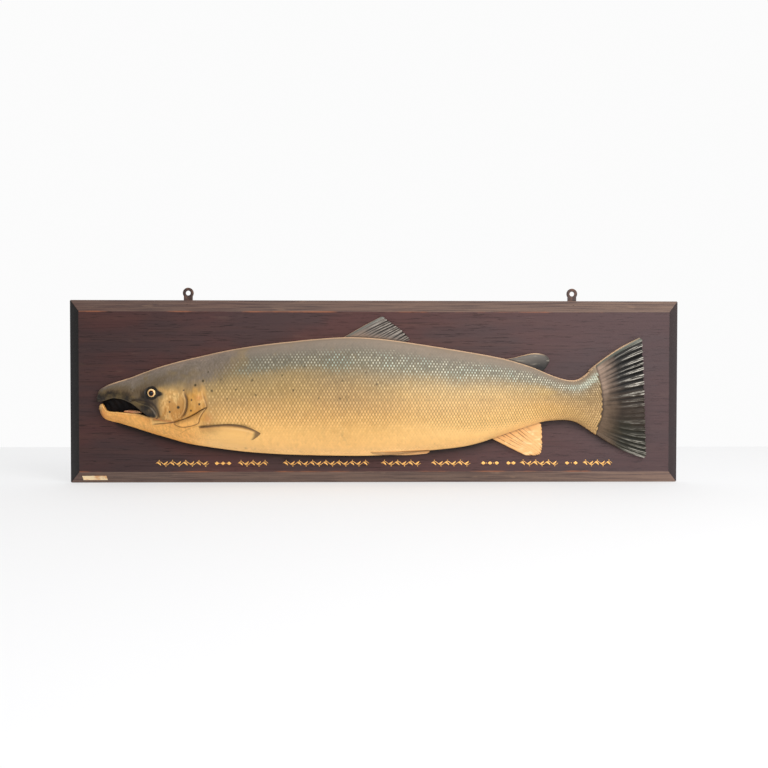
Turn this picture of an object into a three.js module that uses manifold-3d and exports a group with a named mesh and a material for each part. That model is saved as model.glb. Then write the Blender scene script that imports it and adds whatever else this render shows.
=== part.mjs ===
// A carved and painted half-block salmon, fixed to a chamfered oak wall board with two iron hanging plates.
// Millimetres, +Z up. The origin is the centre of the board's flat back. The fish's flank faces -Y and its
// head points to -X.

import * as THREE from 'three';
import { mergeVertices } from 'three/addons/utils/BufferGeometryUtils.js';
import Module from 'manifold-3d';

const wasm = await Module();
wasm.setup();

// ---------------------------------------------------------------- driving dimensions

const BOARD = {
  width: 1250, height: 374, thickness: 28, bevelWidth: 24.5, bevelDepth: 22, cornerRadius: 2.5,
};
const FIT_GAP = 0.3; // clearance between pieces that touch
const FISH_BACK = -(BOARD.thickness + FIT_GAP); // Y of the flat sawn back of the fish
const SAWN_EDGE = 5; // square edge left along the board before the carving rounds over
const ROUNDING = 2.3; // power of the rounded cross-section; 2 is an ellipse
const SECTION_STEPS = 12; // facets from belly to back
const MOUTH_DEPTH = 9; // thickness of the dark wood left behind the open mouth

const HANGER = {
  x: [-385, 406], ringHeight: 15, ringRadius: 11, holeRadius: 5,
  neckWidth: 18, footRadius: 5, drop: 42, sheet: 2.5,
};
const HANGER_SCREW = { head: 3.6, shank: 1.7, length: 15, sink: 2, drops: [11, 30] };
const FIXING_SCREW = { head: 5.2, shank: 2.4, length: 46, sink: 3 };
const FIXING_SCREW_PLACES = [[-300, -22], [-90, -8], [140, -12], [372, -16]];
const SCREW_FACETS = 10;
const LABEL = { x: -572.5, width: 49, height: 12.6, thickness: 0.8, downBevel: 0.54 };
const LABEL_PIN = { radius: 0.8, length: 5, spacing: 44 };

const EYE = { x: -443, z: -1.2, radius: 8.8, socketFloor: 39.5, apex: 48.6, facets: 18 };
const TONGUE = { start: -503, end: -471, z: -40.6, halfWidth: 2.6, height: 24 };

// Height of the back and of the belly, and how far the flank stands off the board, along the length.
const BACK_LINE = [
  [-560, -8], [-558, 2], [-551, 8], [-535, 16], [-495, 29], [-435, 51], [-355, 72], [-274, 89], [-194, 100],
  [-70, 111], [10, 108], [130, 91], [250, 70.5], [313, 53], [354, 36], [376, 28.5], [396, 24.5],
  [412, 26.5], [426, 35], [440, 48.5], [466, 72],
];
const BELLY_LINE = [
  [-560, -16], [-556.5, -33], [-551, -50.5], [-541, -58.5], [-512, -66.3], [-436, -90], [-375, -105],
  [-315, -115], [-234, -124], [-113, -129], [8, -129], [90, -121], [171, -112.5], [212, -103.5],
  [261, -86.5], [308, -70.5], [340, -61], [376, -57.5], [398, -59], [416, -66], [437, -80], [466, -99.5],
];
const RELIEF_LINE = [
  [-560, 12], [-552, 21], [-530, 31], [-480, 41], [-443, 47.5], [-390, 56], [-340, 62], [-240, 69],
  [-100, 73], [40, 71], [180, 60], [300, 44], [396, 30], [430, 22], [466, 13],
];

// Seams between the named parts, as [x, z] points on the flank.
const SEAM = {
  nape: [[-362, 90], [-353, 46], [-347, 18]],
  gillRear: [[-347, 18], [-343, 9], [-339, -6], [-335, -16], [-333, -30]],
  gillLower: [[-333, -30], [-341, -34], [-356, -43], [-370, -50], [-386, -55.5], [-398, -59]],
  membraneRear: [[-333, -30], [-340, -40], [-347, -50], [-350, -61]],
  membraneLower: [[-350, -61], [-367, -66], [-382, -68], [-392, -65], [-398, -59]],
  throatRear: [[-350, -61], [-368, -71], [-385, -80], [-404, -91], [-426, -106]],
  cheekGroove: [[-378, 14], [-377, -4], [-374, -12], [-373, -20], [-374, -30], [-377, -39], [-386, -55.5]],
  gillTop: [[-347, 18], [-378, 14]],
  cheekTop: [[-378, 14], [-418, 11]],
  cheekFront: [[-418, 11], [-426, -4], [-429, -25], [-431.5, -49]],
  cheekLower: [[-431.5, -49], [-411, -55], [-398, -59]],
  jawHinge: [[-398, -59], [-420, -61.5], [-442, -63.6], [-437, -80], [-426, -106]],
  maxillaTop: [[-486, -21.2], [-476.5, -17.5], [-466, -22.5], [-456, -24.7], [-446, -28], [-440, -35],
    [-431.5, -49]],
  maxillaLower: [[-486, -21.2], [-480, -24], [-472, -31], [-463, -38], [-453, -46], [-443.5, -49]],
  lipMeeting: [[-443.5, -49], [-431.5, -49]],
  upperLip: [[-575, -19.5], [-550, -19.5], [-539, -16.8], [-528, -12.2], [-516, -12.2], [-504, -14.2],
    [-486, -21.2]],
  lowerLip: [[-575, -23], [-551, -24], [-545.4, -23.5], [-541, -29], [-536, -36.3], [-528, -39.3],
    [-515, -39.3], [-489, -41.9], [-469, -42.5], [-454, -47.5], [-443.5, -49]],
  tailFin: [[440, 150], [447.5, 50], [462, 0], [463, -52], [452, -67], [450, -170]],
};
const TRUNK_SEAMS = [-150, 120, 345]; // X of the seams between the lengths of the trunk and the tail wrist
// How far a part's surface stands above, or lies below, the general run of the flank.
const PROUD = { cheek: 1, gill_cover: 3, gill_membrane: 1, maxilla: 2.2, lower_jaw: -2.5, throat: -0.8 };

// Each fin: the root and the free edge as points from its leading to its trailing ray, how far the rays bow,
// the depth of the carving at root and tip, and the number of rays.
const FIN = {
  dorsal_fin: {
    root: [[-67, 104], [0, 101], [60, 94]],
    edge: [[14, 153.7], [33, 139], [48, 127], [66, 108]],
    bow: [1.5, 0], depth: [11, 6], rays: 11, toothing: 2.2,
  },
  adipose_fin: {
    root: [[268, 58], [300, 50], [340, 36]],
    edge: [[284, 67.5], [303, 74.5], [324, 79], [346, 74], [353.5, 64], [344, 45]],
    bow: [0, 0], depth: [13, 8], rays: 0, toothing: 0,
  },
  anal_fin: {
    root: [[231, -92], [280, -73], [326, -58]],
    edge: [[306, -129.5], [331, -128.5], [338.5, -119], [339.5, -93], [338, -66]],
    bow: [-0.5, 0], depth: [13, 7], rays: 11, toothing: 1.2,
  },
  caudal_fin: {
    root: [[440, 47], [452, 5], [453, -50], [440, -80]],
    edge: [[543, 113], [547, 60], [549.5, -12], [551.5, -75], [554, -136.5]],
    bow: [6, -8], depth: [17, 8], rays: 17, toothing: 1.5,
  },
};
const RAY_RIDGE = 1.3; // how far each ray stands above the web between the rays
// Fins laid against the flank; proud is how far they stand off it at root and tip.
const LAID_FIN = {
  pectoral_fin: {
    root: [[-350, -69], [-347, -93]],
    edge: [[-229, -80], [-234, -87], [-243, -94]],
    bow: [7.5, -4], proud: [5, 3], rays: 6,
  },
  pelvic_fin: {
    root: [[-12, -119], [-6, -124]],
    edge: [[107, -117.5], [109, -121.5], [103, -125]],
    bow: [-1, -4.2], proud: [3, 6], rays: 4,
  },
};

// ---------------------------------------------------------------- solids

/** A closed body for cutting and joining, from any closed geometry. */
function solidOf(geometry) {
  geometry.deleteAttribute('normal');
  geometry.deleteAttribute('uv');
  const merged = mergeVertices(geometry, 1e-4);
  const vertProperties = merged.attributes.position.array;
  const triVerts = Uint32Array.from(merged.index.array);
  return new wasm.Manifold(new wasm.Mesh({ numProp: 3, vertProperties, triVerts }));
}

function geometryOf(solid) {
  const mesh = solid.getMesh();
  const geometry = new THREE.BufferGeometry();
  geometry.setAttribute('position', new THREE.BufferAttribute(mesh.vertProperties, 3));
  geometry.setIndex(new THREE.BufferAttribute(mesh.triVerts, 1));
  return geometry;
}

/** The triangles that close a ring of points that lies in one plane. */
function capOf(ring) {
  const normal = new THREE.Vector3();
  ring.forEach((point, i) => normal.add(point.clone().cross(ring[(i + 1) % ring.length])));
  const turn = new THREE.Quaternion().setFromUnitVectors(normal.normalize(), new THREE.Vector3(0, 0, 1));
  const flat = ring.map((point) => {
    const { x, y } = point.clone().applyQuaternion(turn);
    return new THREE.Vector2(x, y);
  });
  return THREE.ShapeUtils.triangulateShape(flat, []);
}

/** A closed body through rings with equal numbers of points, its faces turned outwards. */
function loft(rings) {
  const count = rings[0].length;
  const triangles = [];
  for (let i = 0; i < rings.length - 1; i++) {
    for (let j = 0; j < count; j++) {
      const [a, b] = [i * count + j, i * count + ((j + 1) % count)];
      triangles.push([a, b, b + count], [a, b + count, a + count]);
    }
  }
  const last = (rings.length - 1) * count;
  capOf(rings[0]).forEach(([a, b, c]) => triangles.push([a, c, b]));
  capOf(rings.at(-1)).forEach(([a, b, c]) => triangles.push([last + a, last + b, last + c]));
  const points = rings.flat();
  const wedge = ([a, b, c]) => points[a].dot(points[b].clone().cross(points[c]));
  const volume = triangles.reduce((sum, triangle) => sum + wedge(triangle), 0);
  const outward = volume < 0 ? triangles.map(([a, b, c]) => [a, c, b]) : triangles;
  const geometry = new THREE.BufferGeometry().setFromPoints(points);
  geometry.setIndex(outward.flat());
  return solidOf(geometry);
}

const shapeOf = (outline) => new THREE.Shape(outline.map(([x, z]) => new THREE.Vector2(x, z)));

/** A straight-sided block with a shape drawn in X and Z, from one Y to another. */
function block(shape, yFrom, yTo) {
  const settings = { depth: yFrom - yTo, bevelEnabled: false, curveSegments: 8 };
  const geometry = new THREE.ExtrudeGeometry(shape, settings);
  return solidOf(geometry.rotateX(Math.PI / 2).translate(0, yFrom, 0));
}

/** A round body about a line along Y at [x, z], from [radius, y] points. */
function turned([x, z], profile, segments) {
  const points = profile.map(([radius, y]) => new THREE.Vector2(radius, y));
  return solidOf(new THREE.LatheGeometry(points, segments).translate(x, 0, z));
}

/** A smooth line through [x, value] stations, as a function of x. */
function smoothLine(stations) {
  const slope = (i) => {
    const [before, after] = [stations[Math.max(i - 1, 0)], stations[Math.min(i + 1, stations.length - 1)]];
    return (after[1] - before[1]) / (after[0] - before[0]);
  };
  return (x) => {
    const found = stations.findIndex((station) => station[0] >= x);
    const i = Math.max(found === -1 ? stations.length - 1 : found, 1);
    const [[x0, y0], [x1, y1]] = [stations[i - 1], stations[i]];
    const span = x1 - x0;
    const t = THREE.MathUtils.clamp((x - x0) / span, 0, 1);
    const [t2, t3] = [t * t, t * t * t];
    return (2 * t3 - 3 * t2 + 1) * y0 + (t3 - 2 * t2 + t) * span * slope(i - 1)
      + (3 * t2 - 2 * t3) * y1 + (t3 - t2) * span * slope(i);
  };
}

// ---------------------------------------------------------------- the carved fish

const backAt = smoothLine(BACK_LINE);
const bellyAt = smoothLine(BELLY_LINE);
const reliefAt = smoothLine(RELIEF_LINE);
const onFish = (x, z, height) => new THREE.Vector3(x, FISH_BACK - height, z);

/** How far the flank stands off the fish's flat back; past the outline it stays at the sawn edge. */
function flankHeight(x, z) {
  const [top, bottom] = [backAt(x), bellyAt(x)];
  const across = Math.min(Math.abs((2 * z - top - bottom) / (top - bottom)), 1);
  return SAWN_EDGE + (reliefAt(x) - SAWN_EDGE) * (1 - across ** ROUNDING) ** (1 / ROUNDING);
}

function stationsAlongFish() {
  const stations = [-560, -558.5, -555.5, -551];
  const spacing = [[-543, -340, 11.3], [-328, 340, 27.5], [354, 466, 9.3]];
  spacing.forEach(([from, to, step]) => {
    for (let x = from; x <= to; x += step) stations.push(x);
  });
  return stations;
}

/** The whole half-fish without its fins: raised moves the flank out, grown moves the outline out. */
function fleshBody(raised, grown) {
  const rings = stationsAlongFish().map((x) => {
    const [top, bottom] = [backAt(x) + grown, bellyAt(x) - grown];
    const middle = (top + bottom) / 2;
    const half = (top - bottom) / 2;
    const section = [];
    for (let i = 0; i <= SECTION_STEPS; i++) {
      const angle = Math.PI * (i / SECTION_STEPS);
      const across = -Math.sign(Math.cos(angle)) * Math.abs(Math.cos(angle)) ** (2 / ROUNDING);
      const rise = Math.sin(angle) ** (2 / ROUNDING);
      section.push(onFish(x, middle + half * across, SAWN_EDGE + (reliefAt(x) + raised - SAWN_EDGE) * rise));
    }
    return [onFish(x, bottom, 0), ...section, onFish(x, top, 0)];
  });
  return loft(rings);
}

/** Thin walls along the seams, cut away so that neighbouring parts keep their clearance. */
function seamKerf() {
  const kerfs = [];
  const trunkSeams = TRUNK_SEAMS.map((x) => [[x, -160], [x, 140]]);
  [...Object.values(SEAM), ...trunkSeams].forEach((seam) => {
    for (let i = 1; i < seam.length; i++) {
      const [[xa, za], [xb, zb]] = [seam[i - 1], seam[i]];
      const length = Math.hypot(xb - xa, zb - za) + FIT_GAP;
      const wall = new THREE.BoxGeometry(length, 160, FIT_GAP);
      wall.rotateY(-Math.atan2(zb - za, xb - xa)).translate((xa + xb) / 2, FISH_BACK, (za + zb) / 2);
      kerfs.push(solidOf(wall));
    }
  });
  return wasm.Manifold.union(kerfs);
}

const reversed = (line) => [...line].reverse();
const same = ([xa, za], [xb, zb]) => xa === xb && za === zb;
/** One closed outline from lines laid end to end, each shared point kept once. */
const joined = (...lines) => lines.flat().filter((point, i, all) => !same(point, all.at(i - 1)));

const [frontSeam, middleSeam, wristSeam] = TRUNK_SEAMS;
const grooveFoot = SEAM.cheekGroove.at(-1);
const REGION = {
  head: joined(SEAM.upperLip, SEAM.maxillaTop, reversed(SEAM.cheekFront), reversed(SEAM.cheekTop),
    reversed(SEAM.gillTop), reversed(SEAM.nape), [[-575, 90]]),
  maxilla: joined(SEAM.maxillaTop, reversed(SEAM.lipMeeting), reversed(SEAM.maxillaLower)),
  cheek: joined(SEAM.cheekTop, SEAM.cheekFront, SEAM.cheekLower, [grooveFoot], reversed(SEAM.cheekGroove)),
  gill_cover: joined(SEAM.gillRear, SEAM.gillLower.slice(0, -1), reversed(SEAM.cheekGroove),
    reversed(SEAM.gillTop)),
  gill_membrane: joined(SEAM.gillLower, reversed(SEAM.membraneLower), reversed(SEAM.membraneRear)),
  lower_jaw: joined(SEAM.lowerLip, SEAM.lipMeeting, SEAM.cheekLower, SEAM.jawHinge, [[-575, -106]]),
  throat: joined(SEAM.jawHinge, reversed(SEAM.throatRear), SEAM.membraneLower),
  trunk_front: joined(SEAM.nape, SEAM.gillRear, SEAM.membraneRear, SEAM.throatRear,
    [[-426, -160], [frontSeam, -160], [frontSeam, 140], [-362, 140]]),
  trunk_middle: [[frontSeam, -160], [middleSeam, -160], [middleSeam, 140], [frontSeam, 140]],
  trunk_rear: [[middleSeam, -160], [wristSeam, -160], [wristSeam, 140], [middleSeam, 140]],
  tail_wrist: joined(SEAM.tailFin, [[wristSeam, -170], [wristSeam, 150]]),
};

/** A fin's points: rows from leading to trailing ray, each from root to free edge, with their heights. */
function finRows(spec, lengthSteps, heightAt) {
  const curve = (points) => new THREE.SplineCurve(points.map(([x, z]) => new THREE.Vector2(x, z)));
  const [root, edge] = [curve(spec.root), curve(spec.edge)];
  const rowCount = spec.rays ? 2 * spec.rays : 10;
  const rows = [];
  for (let i = 0; i <= rowCount; i++) {
    const across = i / rowCount;
    const onRay = spec.rays ? (i + 1) % 2 : 0;
    const [from, to] = [root.getPoint(across), edge.getPoint(across)];
    const reach = 1 - (onRay ? 0 : (spec.toothing || 0) / Math.max(from.distanceTo(to), 1));
    const bow = THREE.MathUtils.lerp(spec.bow[0], spec.bow[1], across);
    const row = [];
    for (let j = 0; j <= lengthSteps; j++) {
      const along = (j / lengthSteps) * reach;
      const place = from.clone().lerp(to, along);
      place.y += bow * 4 * along * (1 - along);
      row.push({ x: place.x, z: place.y, height: heightAt(place, along, onRay) });
    }
    rows.push(row);
  }
  return rows;
}

function finSolid(rows, backHeightAt) {
  return loft(rows.map((row) => {
    const front = row.map(({ x, z, height }) => onFish(x, z, height));
    const back = row.map(({ x, z, height }) => onFish(x, z, backHeightAt(x, z, height)));
    return [...front, ...back.reverse()];
  }));
}

/** A fin whose flat back lies on the board. */
function standingFin(spec) {
  const carved = (along) => THREE.MathUtils.lerp(...spec.depth, along);
  const ridge = (along, onRay) => onRay * RAY_RIDGE * Math.min(1, 3 * along);
  const rows = finRows(spec, 3, (place, along, onRay) => carved(along) + ridge(along, onRay));
  return finSolid(rows, () => 0);
}

/** A fin that lies against the flank, thick enough to reach into it. */
function laidFin(spec) {
  const proud = (along) => THREE.MathUtils.lerp(...spec.proud, along);
  const over = ({ x, y }, along, onRay) => flankHeight(x, y) + proud(along) + onRay * RAY_RIDGE * 0.6;
  return finSolid(finRows(spec, 6, over), (x, z, height) => Math.max(height - 14, 2));
}

/** A slotted countersunk screw driven in from the board's back; grown makes its hole. */
function screw(place, { head, shank, length, sink }, grown) {
  const face = grown ? 1 : 0;
  const profile = [[0, face], [head + grown, face], [head + grown, -0.4], [shank + grown, -sink - 1 - grown],
    [shank + grown, -length - grown], [0, -length - grown]];
  const body = turned(place, profile.reverse(), SCREW_FACETS);
  if (grown) return body;
  const slot = new THREE.BoxGeometry(head * 2.4, 1.8, 0.9).translate(place[0], 0, place[1]);
  return body.subtract(solidOf(slot));
}

const wholeFish = fleshBody(0, 0);
const kerf = seamKerf();
const holesFor = (places, kind) => places.map((place) => screw(place, kind, FIT_GAP));
const fixingHoles = wasm.Manifold.union(holesFor(FIXING_SCREW_PLACES, FIXING_SCREW));
const eyeSocket = turned([EYE.x, EYE.z], [[0, -90], [EYE.radius + FIT_GAP, -90],
  [EYE.radius + FIT_GAP, FISH_BACK - EYE.socketFloor], [0, FISH_BACK - EYE.socketFloor]], EYE.facets);

/** A block with this outline, right through the fish. */
const through = (outline) => block(shapeOf(outline), 20, -140);

function fleshPart(name) {
  const raised = PROUD[name] ?? 0;
  const stock = raised ? fleshBody(raised, 0) : wholeFish;
  const part = stock.intersect(through(REGION[name])).subtract(kerf).subtract(fixingHoles);
  return name === 'head' ? part.subtract(eyeSocket) : part;
}

function eye() {
  const base = FISH_BACK - EYE.socketFloor - FIT_GAP;
  const shoulder = base - 5;
  const apex = FISH_BACK - EYE.apex;
  const profile = [[0, base], [EYE.radius, base]];
  for (let i = 0; i <= 4; i++) {
    const angle = (Math.PI / 2) * (i / 4);
    profile.push([EYE.radius * Math.cos(angle), shoulder + (apex - shoulder) * Math.sin(angle)]);
  }
  profile[profile.length - 1][0] = 0;
  return turned([EYE.x, EYE.z], profile.reverse(), EYE.facets);
}

function mouthLining() {
  const opening = joined(SEAM.upperLip.slice(2), SEAM.maxillaLower, reversed(SEAM.lowerLip.slice(2, -1)));
  const floor = block(shapeOf(opening), FISH_BACK, FISH_BACK - MOUTH_DEPTH);
  return wholeFish.intersect(floor).subtract(kerf);
}

function tongue() {
  const { start, end, z, halfWidth, height } = TONGUE;
  const foot = MOUTH_DEPTH + FIT_GAP;
  const rings = [];
  for (let i = 0; i <= 6; i++) {
    const along = i / 6;
    const width = halfWidth * Math.sqrt(1 - (2 * along - 1) ** 2 * 0.85);
    const x = THREE.MathUtils.lerp(start, end, along);
    const top = height - 3 * (1 - along);
    const arch = [[1, foot], [1, top - 2], [0.5, top], [-0.5, top], [-1, top - 2], [-1, foot]];
    rings.push(arch.map(([side, level]) => onFish(x, z - 2.2 * along + side * width, level)));
  }
  return loft(rings).subtract(through(REGION.lower_jaw)).subtract(kerf);
}

// ---------------------------------------------------------------- the board and what hangs it

/** A ring round a rectangle with rounded corners, inset from the board's outline, at one Y. */
function boardRing(inset, y) {
  const { width, height, cornerRadius } = BOARD;
  const ring = [];
  [[1, 1], [-1, 1], [-1, -1], [1, -1]].forEach(([sideX, sideZ], corner) => {
    for (let i = 0; i <= 3; i++) {
      const angle = (Math.PI / 2) * (corner + i / 3);
      const x = sideX * (width / 2 - inset - cornerRadius) + cornerRadius * Math.cos(angle);
      const z = sideZ * (height / 2 - inset - cornerRadius) + cornerRadius * Math.sin(angle);
      ring.push(new THREE.Vector3(x, y, z));
    }
  });
  return ring;
}

/** The hanging plate: a round eye over a straight tongue; grown makes its pocket in the board. */
function hangerPlate(x, grown) {
  const top = BOARD.height / 2;
  const centre = top + HANGER.ringHeight;
  const radius = HANGER.ringRadius + grown;
  const half = HANGER.neckWidth / 2 + grown;
  const join = Math.acos(half / radius);
  const foot = HANGER.footRadius;
  const footZ = top - HANGER.drop - grown + foot;
  const shape = new THREE.Shape();
  shape.absarc(x, centre, radius, -join, Math.PI + join, false);
  shape.lineTo(x - half, footZ);
  shape.absarc(x - half + foot, footZ, foot, Math.PI, 1.5 * Math.PI, false);
  shape.absarc(x + half - foot, footZ, foot, 1.5 * Math.PI, 2 * Math.PI, false);
  if (!grown) {
    const hole = new THREE.Path();
    hole.absarc(x, centre, HANGER.holeRadius, 0, 2 * Math.PI, true);
    shape.holes.push(hole);
  }
  return block(shape, grown ? 1 : 0, -HANGER.sheet - grown);
}

const hangerScrewPlaces = (x) => HANGER_SCREW.drops.map((drop) => [x, BOARD.height / 2 - drop]);

/** The label lies on the lower bevel: its group's place, and a pin through each end. */
const labelGroup = new THREE.Group();
labelGroup.rotation.x = Math.atan2(BOARD.bevelDepth, BOARD.bevelWidth);
labelGroup.position.set(
  LABEL.x,
  -BOARD.thickness + BOARD.bevelDepth * LABEL.downBevel,
  -BOARD.height / 2 + BOARD.bevelWidth * (1 - LABEL.downBevel),
);
labelGroup.updateMatrixWorld();
const labelBack = -FIT_GAP;
const labelPinPlaces = [-LABEL_PIN.spacing / 2, LABEL_PIN.spacing / 2];

function labelPin(x, grown) {
  const { radius, length } = LABEL_PIN;
  const head = labelBack - LABEL.thickness - 0.5;
  const point = head + length + grown;
  const profile = [[0, head], [radius + grown, head + 0.2], [radius + grown, point], [0, point]];
  return new THREE.LatheGeometry(profile.map(([r, y]) => new THREE.Vector2(r, y)), 8).translate(x, 0, 0);
}

function labelPlate() {
  const plate = new THREE.BoxGeometry(LABEL.width, LABEL.thickness, LABEL.height);
  plate.translate(0, labelBack - LABEL.thickness / 2, 0);
  return labelPinPlaces.reduce((solid, x) => solid.subtract(solidOf(labelPin(x, FIT_GAP))), solidOf(plate));
}

function board() {
  const { thickness, bevelWidth, bevelDepth } = BOARD;
  const rings = [boardRing(0, 0), boardRing(0, bevelDepth - thickness), boardRing(bevelWidth, -thickness)];
  const pockets = HANGER.x.map((x) => hangerPlate(x, FIT_GAP));
  const hangerHoles = holesFor(HANGER.x.flatMap(hangerScrewPlaces), HANGER_SCREW);
  const pinHole = (x) => solidOf(labelPin(x, FIT_GAP).applyMatrix4(labelGroup.matrixWorld));
  const pinHoles = labelPinPlaces.map(pinHole);
  return loft(rings).subtract(wasm.Manifold.union([...pockets, ...hangerHoles, ...pinHoles, fixingHoles]));
}

// ---------------------------------------------------------------- finishes and the scene graph

function finish(color, roughness, metalness = 0) {
  return new THREE.MeshStandardMaterial({ color, roughness, metalness });
}

const FINISH = {
  stainedOak: finish(0x47302d, 0.55),
  iron: finish(0x3a2f2a, 0.5, 0.8),
  ivorine: finish(0xd9cfae, 0.5),
  brass: finish(0xb08a45, 0.4, 0.9),
  flank: finish(0xb09a66, 0.45),
  darkHead: finish(0x50503e, 0.45),
  goldCheek: finish(0xb5995a, 0.45),
  belly: finish(0xcba35c, 0.45),
  mouth: finish(0x17120f, 0.6),
  tongue: finish(0xc9855a, 0.5),
  eye: finish(0xe2c48c, 0.15),
  darkFin: finish(0x4c4d42, 0.5),
  paleFin: finish(0xd2ad70, 0.5),
};

const model = new THREE.Group();

function addPiece(name, solid, material, parent = model) {
  const mesh = new THREE.Mesh(geometryOf(solid), material);
  mesh.name = name;
  parent.add(mesh);
}

addPiece('board', board(), FINISH.stainedOak);
['left', 'right'].forEach((side, i) => {
  const places = hangerScrewPlaces(HANGER.x[i]);
  const screwHoles = wasm.Manifold.union(holesFor(places, HANGER_SCREW));
  addPiece(`hanger_${side}`, hangerPlate(HANGER.x[i], 0).subtract(screwHoles), FINISH.iron);
  places.forEach((place, j) => {
    addPiece(`hanger_screw_${side}_${j + 1}`, screw(place, HANGER_SCREW, 0), FINISH.iron);
  });
  addPiece(`label_pin_${side}`, solidOf(labelPin(labelPinPlaces[i], 0)), FINISH.brass, labelGroup);
});
addPiece('label_plate', labelPlate(), FINISH.ivorine, labelGroup);
model.add(labelGroup);
FIXING_SCREW_PLACES.forEach((place, i) => {
  addPiece(`fixing_screw_${i + 1}`, screw(place, FIXING_SCREW, 0), FINISH.iron);
});

addPiece('head', fleshPart('head'), FINISH.darkHead);
addPiece('maxilla', fleshPart('maxilla'), FINISH.darkHead);
addPiece('cheek', fleshPart('cheek'), FINISH.goldCheek);
addPiece('gill_cover', fleshPart('gill_cover'), FINISH.goldCheek);
addPiece('gill_membrane', fleshPart('gill_membrane'), FINISH.belly);
addPiece('throat', fleshPart('throat'), FINISH.belly);
addPiece('lower_jaw', fleshPart('lower_jaw'), FINISH.belly);
['trunk_front', 'trunk_middle', 'trunk_rear', 'tail_wrist'].forEach((name) => {
  addPiece(name, fleshPart(name), FINISH.flank);
});
addPiece('mouth_lining', mouthLining(), FINISH.mouth);
addPiece('tongue', tongue(), FINISH.tongue);
addPiece('eye', eye(), FINISH.eye);

const grownFish = fleshBody(FIT_GAP, FIT_GAP);
const tailFinFront = SEAM.tailFin.map(([x, z]) => [x + FIT_GAP, z]);
const behindTail = through(joined(tailFinFront, [[600, -170], [600, 150]]));
['dorsal_fin', 'adipose_fin', 'anal_fin'].forEach((name) => {
  const material = name === 'anal_fin' ? FINISH.paleFin : FINISH.darkFin;
  addPiece(name, standingFin(FIN[name]).subtract(grownFish), material);
});
addPiece('caudal_fin', standingFin(FIN.caudal_fin).intersect(behindTail), FINISH.darkFin);
addPiece('pectoral_fin', laidFin(LAID_FIN.pectoral_fin).subtract(grownFish), FINISH.paleFin);
addPiece('pelvic_fin', laidFin(LAID_FIN.pelvic_fin).subtract(grownFish), FINISH.paleFin);

export default model;
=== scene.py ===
# %% [markdown]
# # A carved and painted salmon on an oak wall board
# The real object is a half-block model: a cock salmon carved from one plank of pine, painted, varnished and
# screwed to a chamfered board of dark stained oak, with two iron plates to hang it by.
# The CAD frame already holds every piece at its real size. This lesson dresses that frame: one carved skin
# over the flesh, a coat of scales, rayed fins, a painted eye, and a finish for every surface.

# %% Load the frame that everything is built around
import math
from contextlib import contextmanager

import bpy
import numpy as np
from mathutils import Matrix, Vector


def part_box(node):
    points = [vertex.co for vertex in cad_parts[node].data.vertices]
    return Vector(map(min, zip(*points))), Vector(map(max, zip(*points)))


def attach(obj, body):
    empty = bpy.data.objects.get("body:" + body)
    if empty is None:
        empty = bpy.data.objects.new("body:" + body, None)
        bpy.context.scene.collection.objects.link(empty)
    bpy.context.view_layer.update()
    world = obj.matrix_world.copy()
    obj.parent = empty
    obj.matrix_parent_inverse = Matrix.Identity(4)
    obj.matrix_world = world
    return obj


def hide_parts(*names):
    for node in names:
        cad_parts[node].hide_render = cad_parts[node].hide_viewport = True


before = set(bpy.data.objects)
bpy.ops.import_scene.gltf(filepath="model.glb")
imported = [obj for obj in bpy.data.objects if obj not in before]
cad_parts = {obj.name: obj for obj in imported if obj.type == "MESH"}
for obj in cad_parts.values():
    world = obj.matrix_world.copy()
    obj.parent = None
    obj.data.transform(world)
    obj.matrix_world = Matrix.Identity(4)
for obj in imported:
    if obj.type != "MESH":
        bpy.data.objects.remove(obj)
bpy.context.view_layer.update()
MM = 0.001

# %% [markdown]
# ## The camera, the floor and the light
# The board stands upright on a pale floor, seen almost square on from 1.75 metres. A small roll and a slight
# turn keep the board's edges as they lie in view. The floor ends a little way behind the board, where a pale
# background takes over. It glows a little of its own, because so much light falls on it that shadows are
# almost lost. The room is white behind the board and dimmer on the camera's side, most of all on the left, so
# that a dark polished board doesn't mirror white all over. One large soft light stands high on the right, and
# a weaker one stands low in front of the floor.

# %% Camera
CAMERA_PLACE = Vector((-0.0178, -1.778, 0.0499))
CAMERA_AIM = Vector((0.0166, -0.028, 0.0160))
CAMERA_LENS = 40.31
CAMERA_ROLL = math.radians(0.055)

camera = bpy.data.objects.new("camera", bpy.data.cameras.new("camera"))
camera.data.lens = CAMERA_LENS
camera.data.sensor_width = 36
camera.location = CAMERA_PLACE
facing = (CAMERA_AIM - CAMERA_PLACE).to_track_quat("-Z", "Y")
camera.rotation_euler = (facing.to_matrix() @ Matrix.Rotation(CAMERA_ROLL, 3, "Z")).to_euler()
bpy.context.collection.objects.link(camera)
bpy.context.scene.camera = camera
print("camera to board:", round((CAMERA_AIM - CAMERA_PLACE).length, 3), "m")

# %% Floor and light
FLOOR_BACK = 0.785
FLOOR_FRONT = -3.0
FLOOR_WIDTH = 8
FLOOR_DROP = 0.0005  # how far the floor lies under the board's lower edge
FLOOR_GLOW = 0.575
WHITE = (1.0, 1.0, 1.0, 1.0)

bpy.context.scene.view_settings.view_transform = "Standard"
board_low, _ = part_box("board")
bpy.ops.object.select_all(action="DESELECT")
bpy.ops.mesh.primitive_plane_add(size=1)
floor = bpy.context.active_object
floor.name = "floor"
floor.scale = (FLOOR_WIDTH, FLOOR_BACK - FLOOR_FRONT, 1)
floor.location = (0, (FLOOR_BACK + FLOOR_FRONT) / 2, board_low.z - FLOOR_DROP)

world = bpy.data.worlds.new("studio")
world.use_nodes = True
bpy.context.scene.world = world


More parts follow.
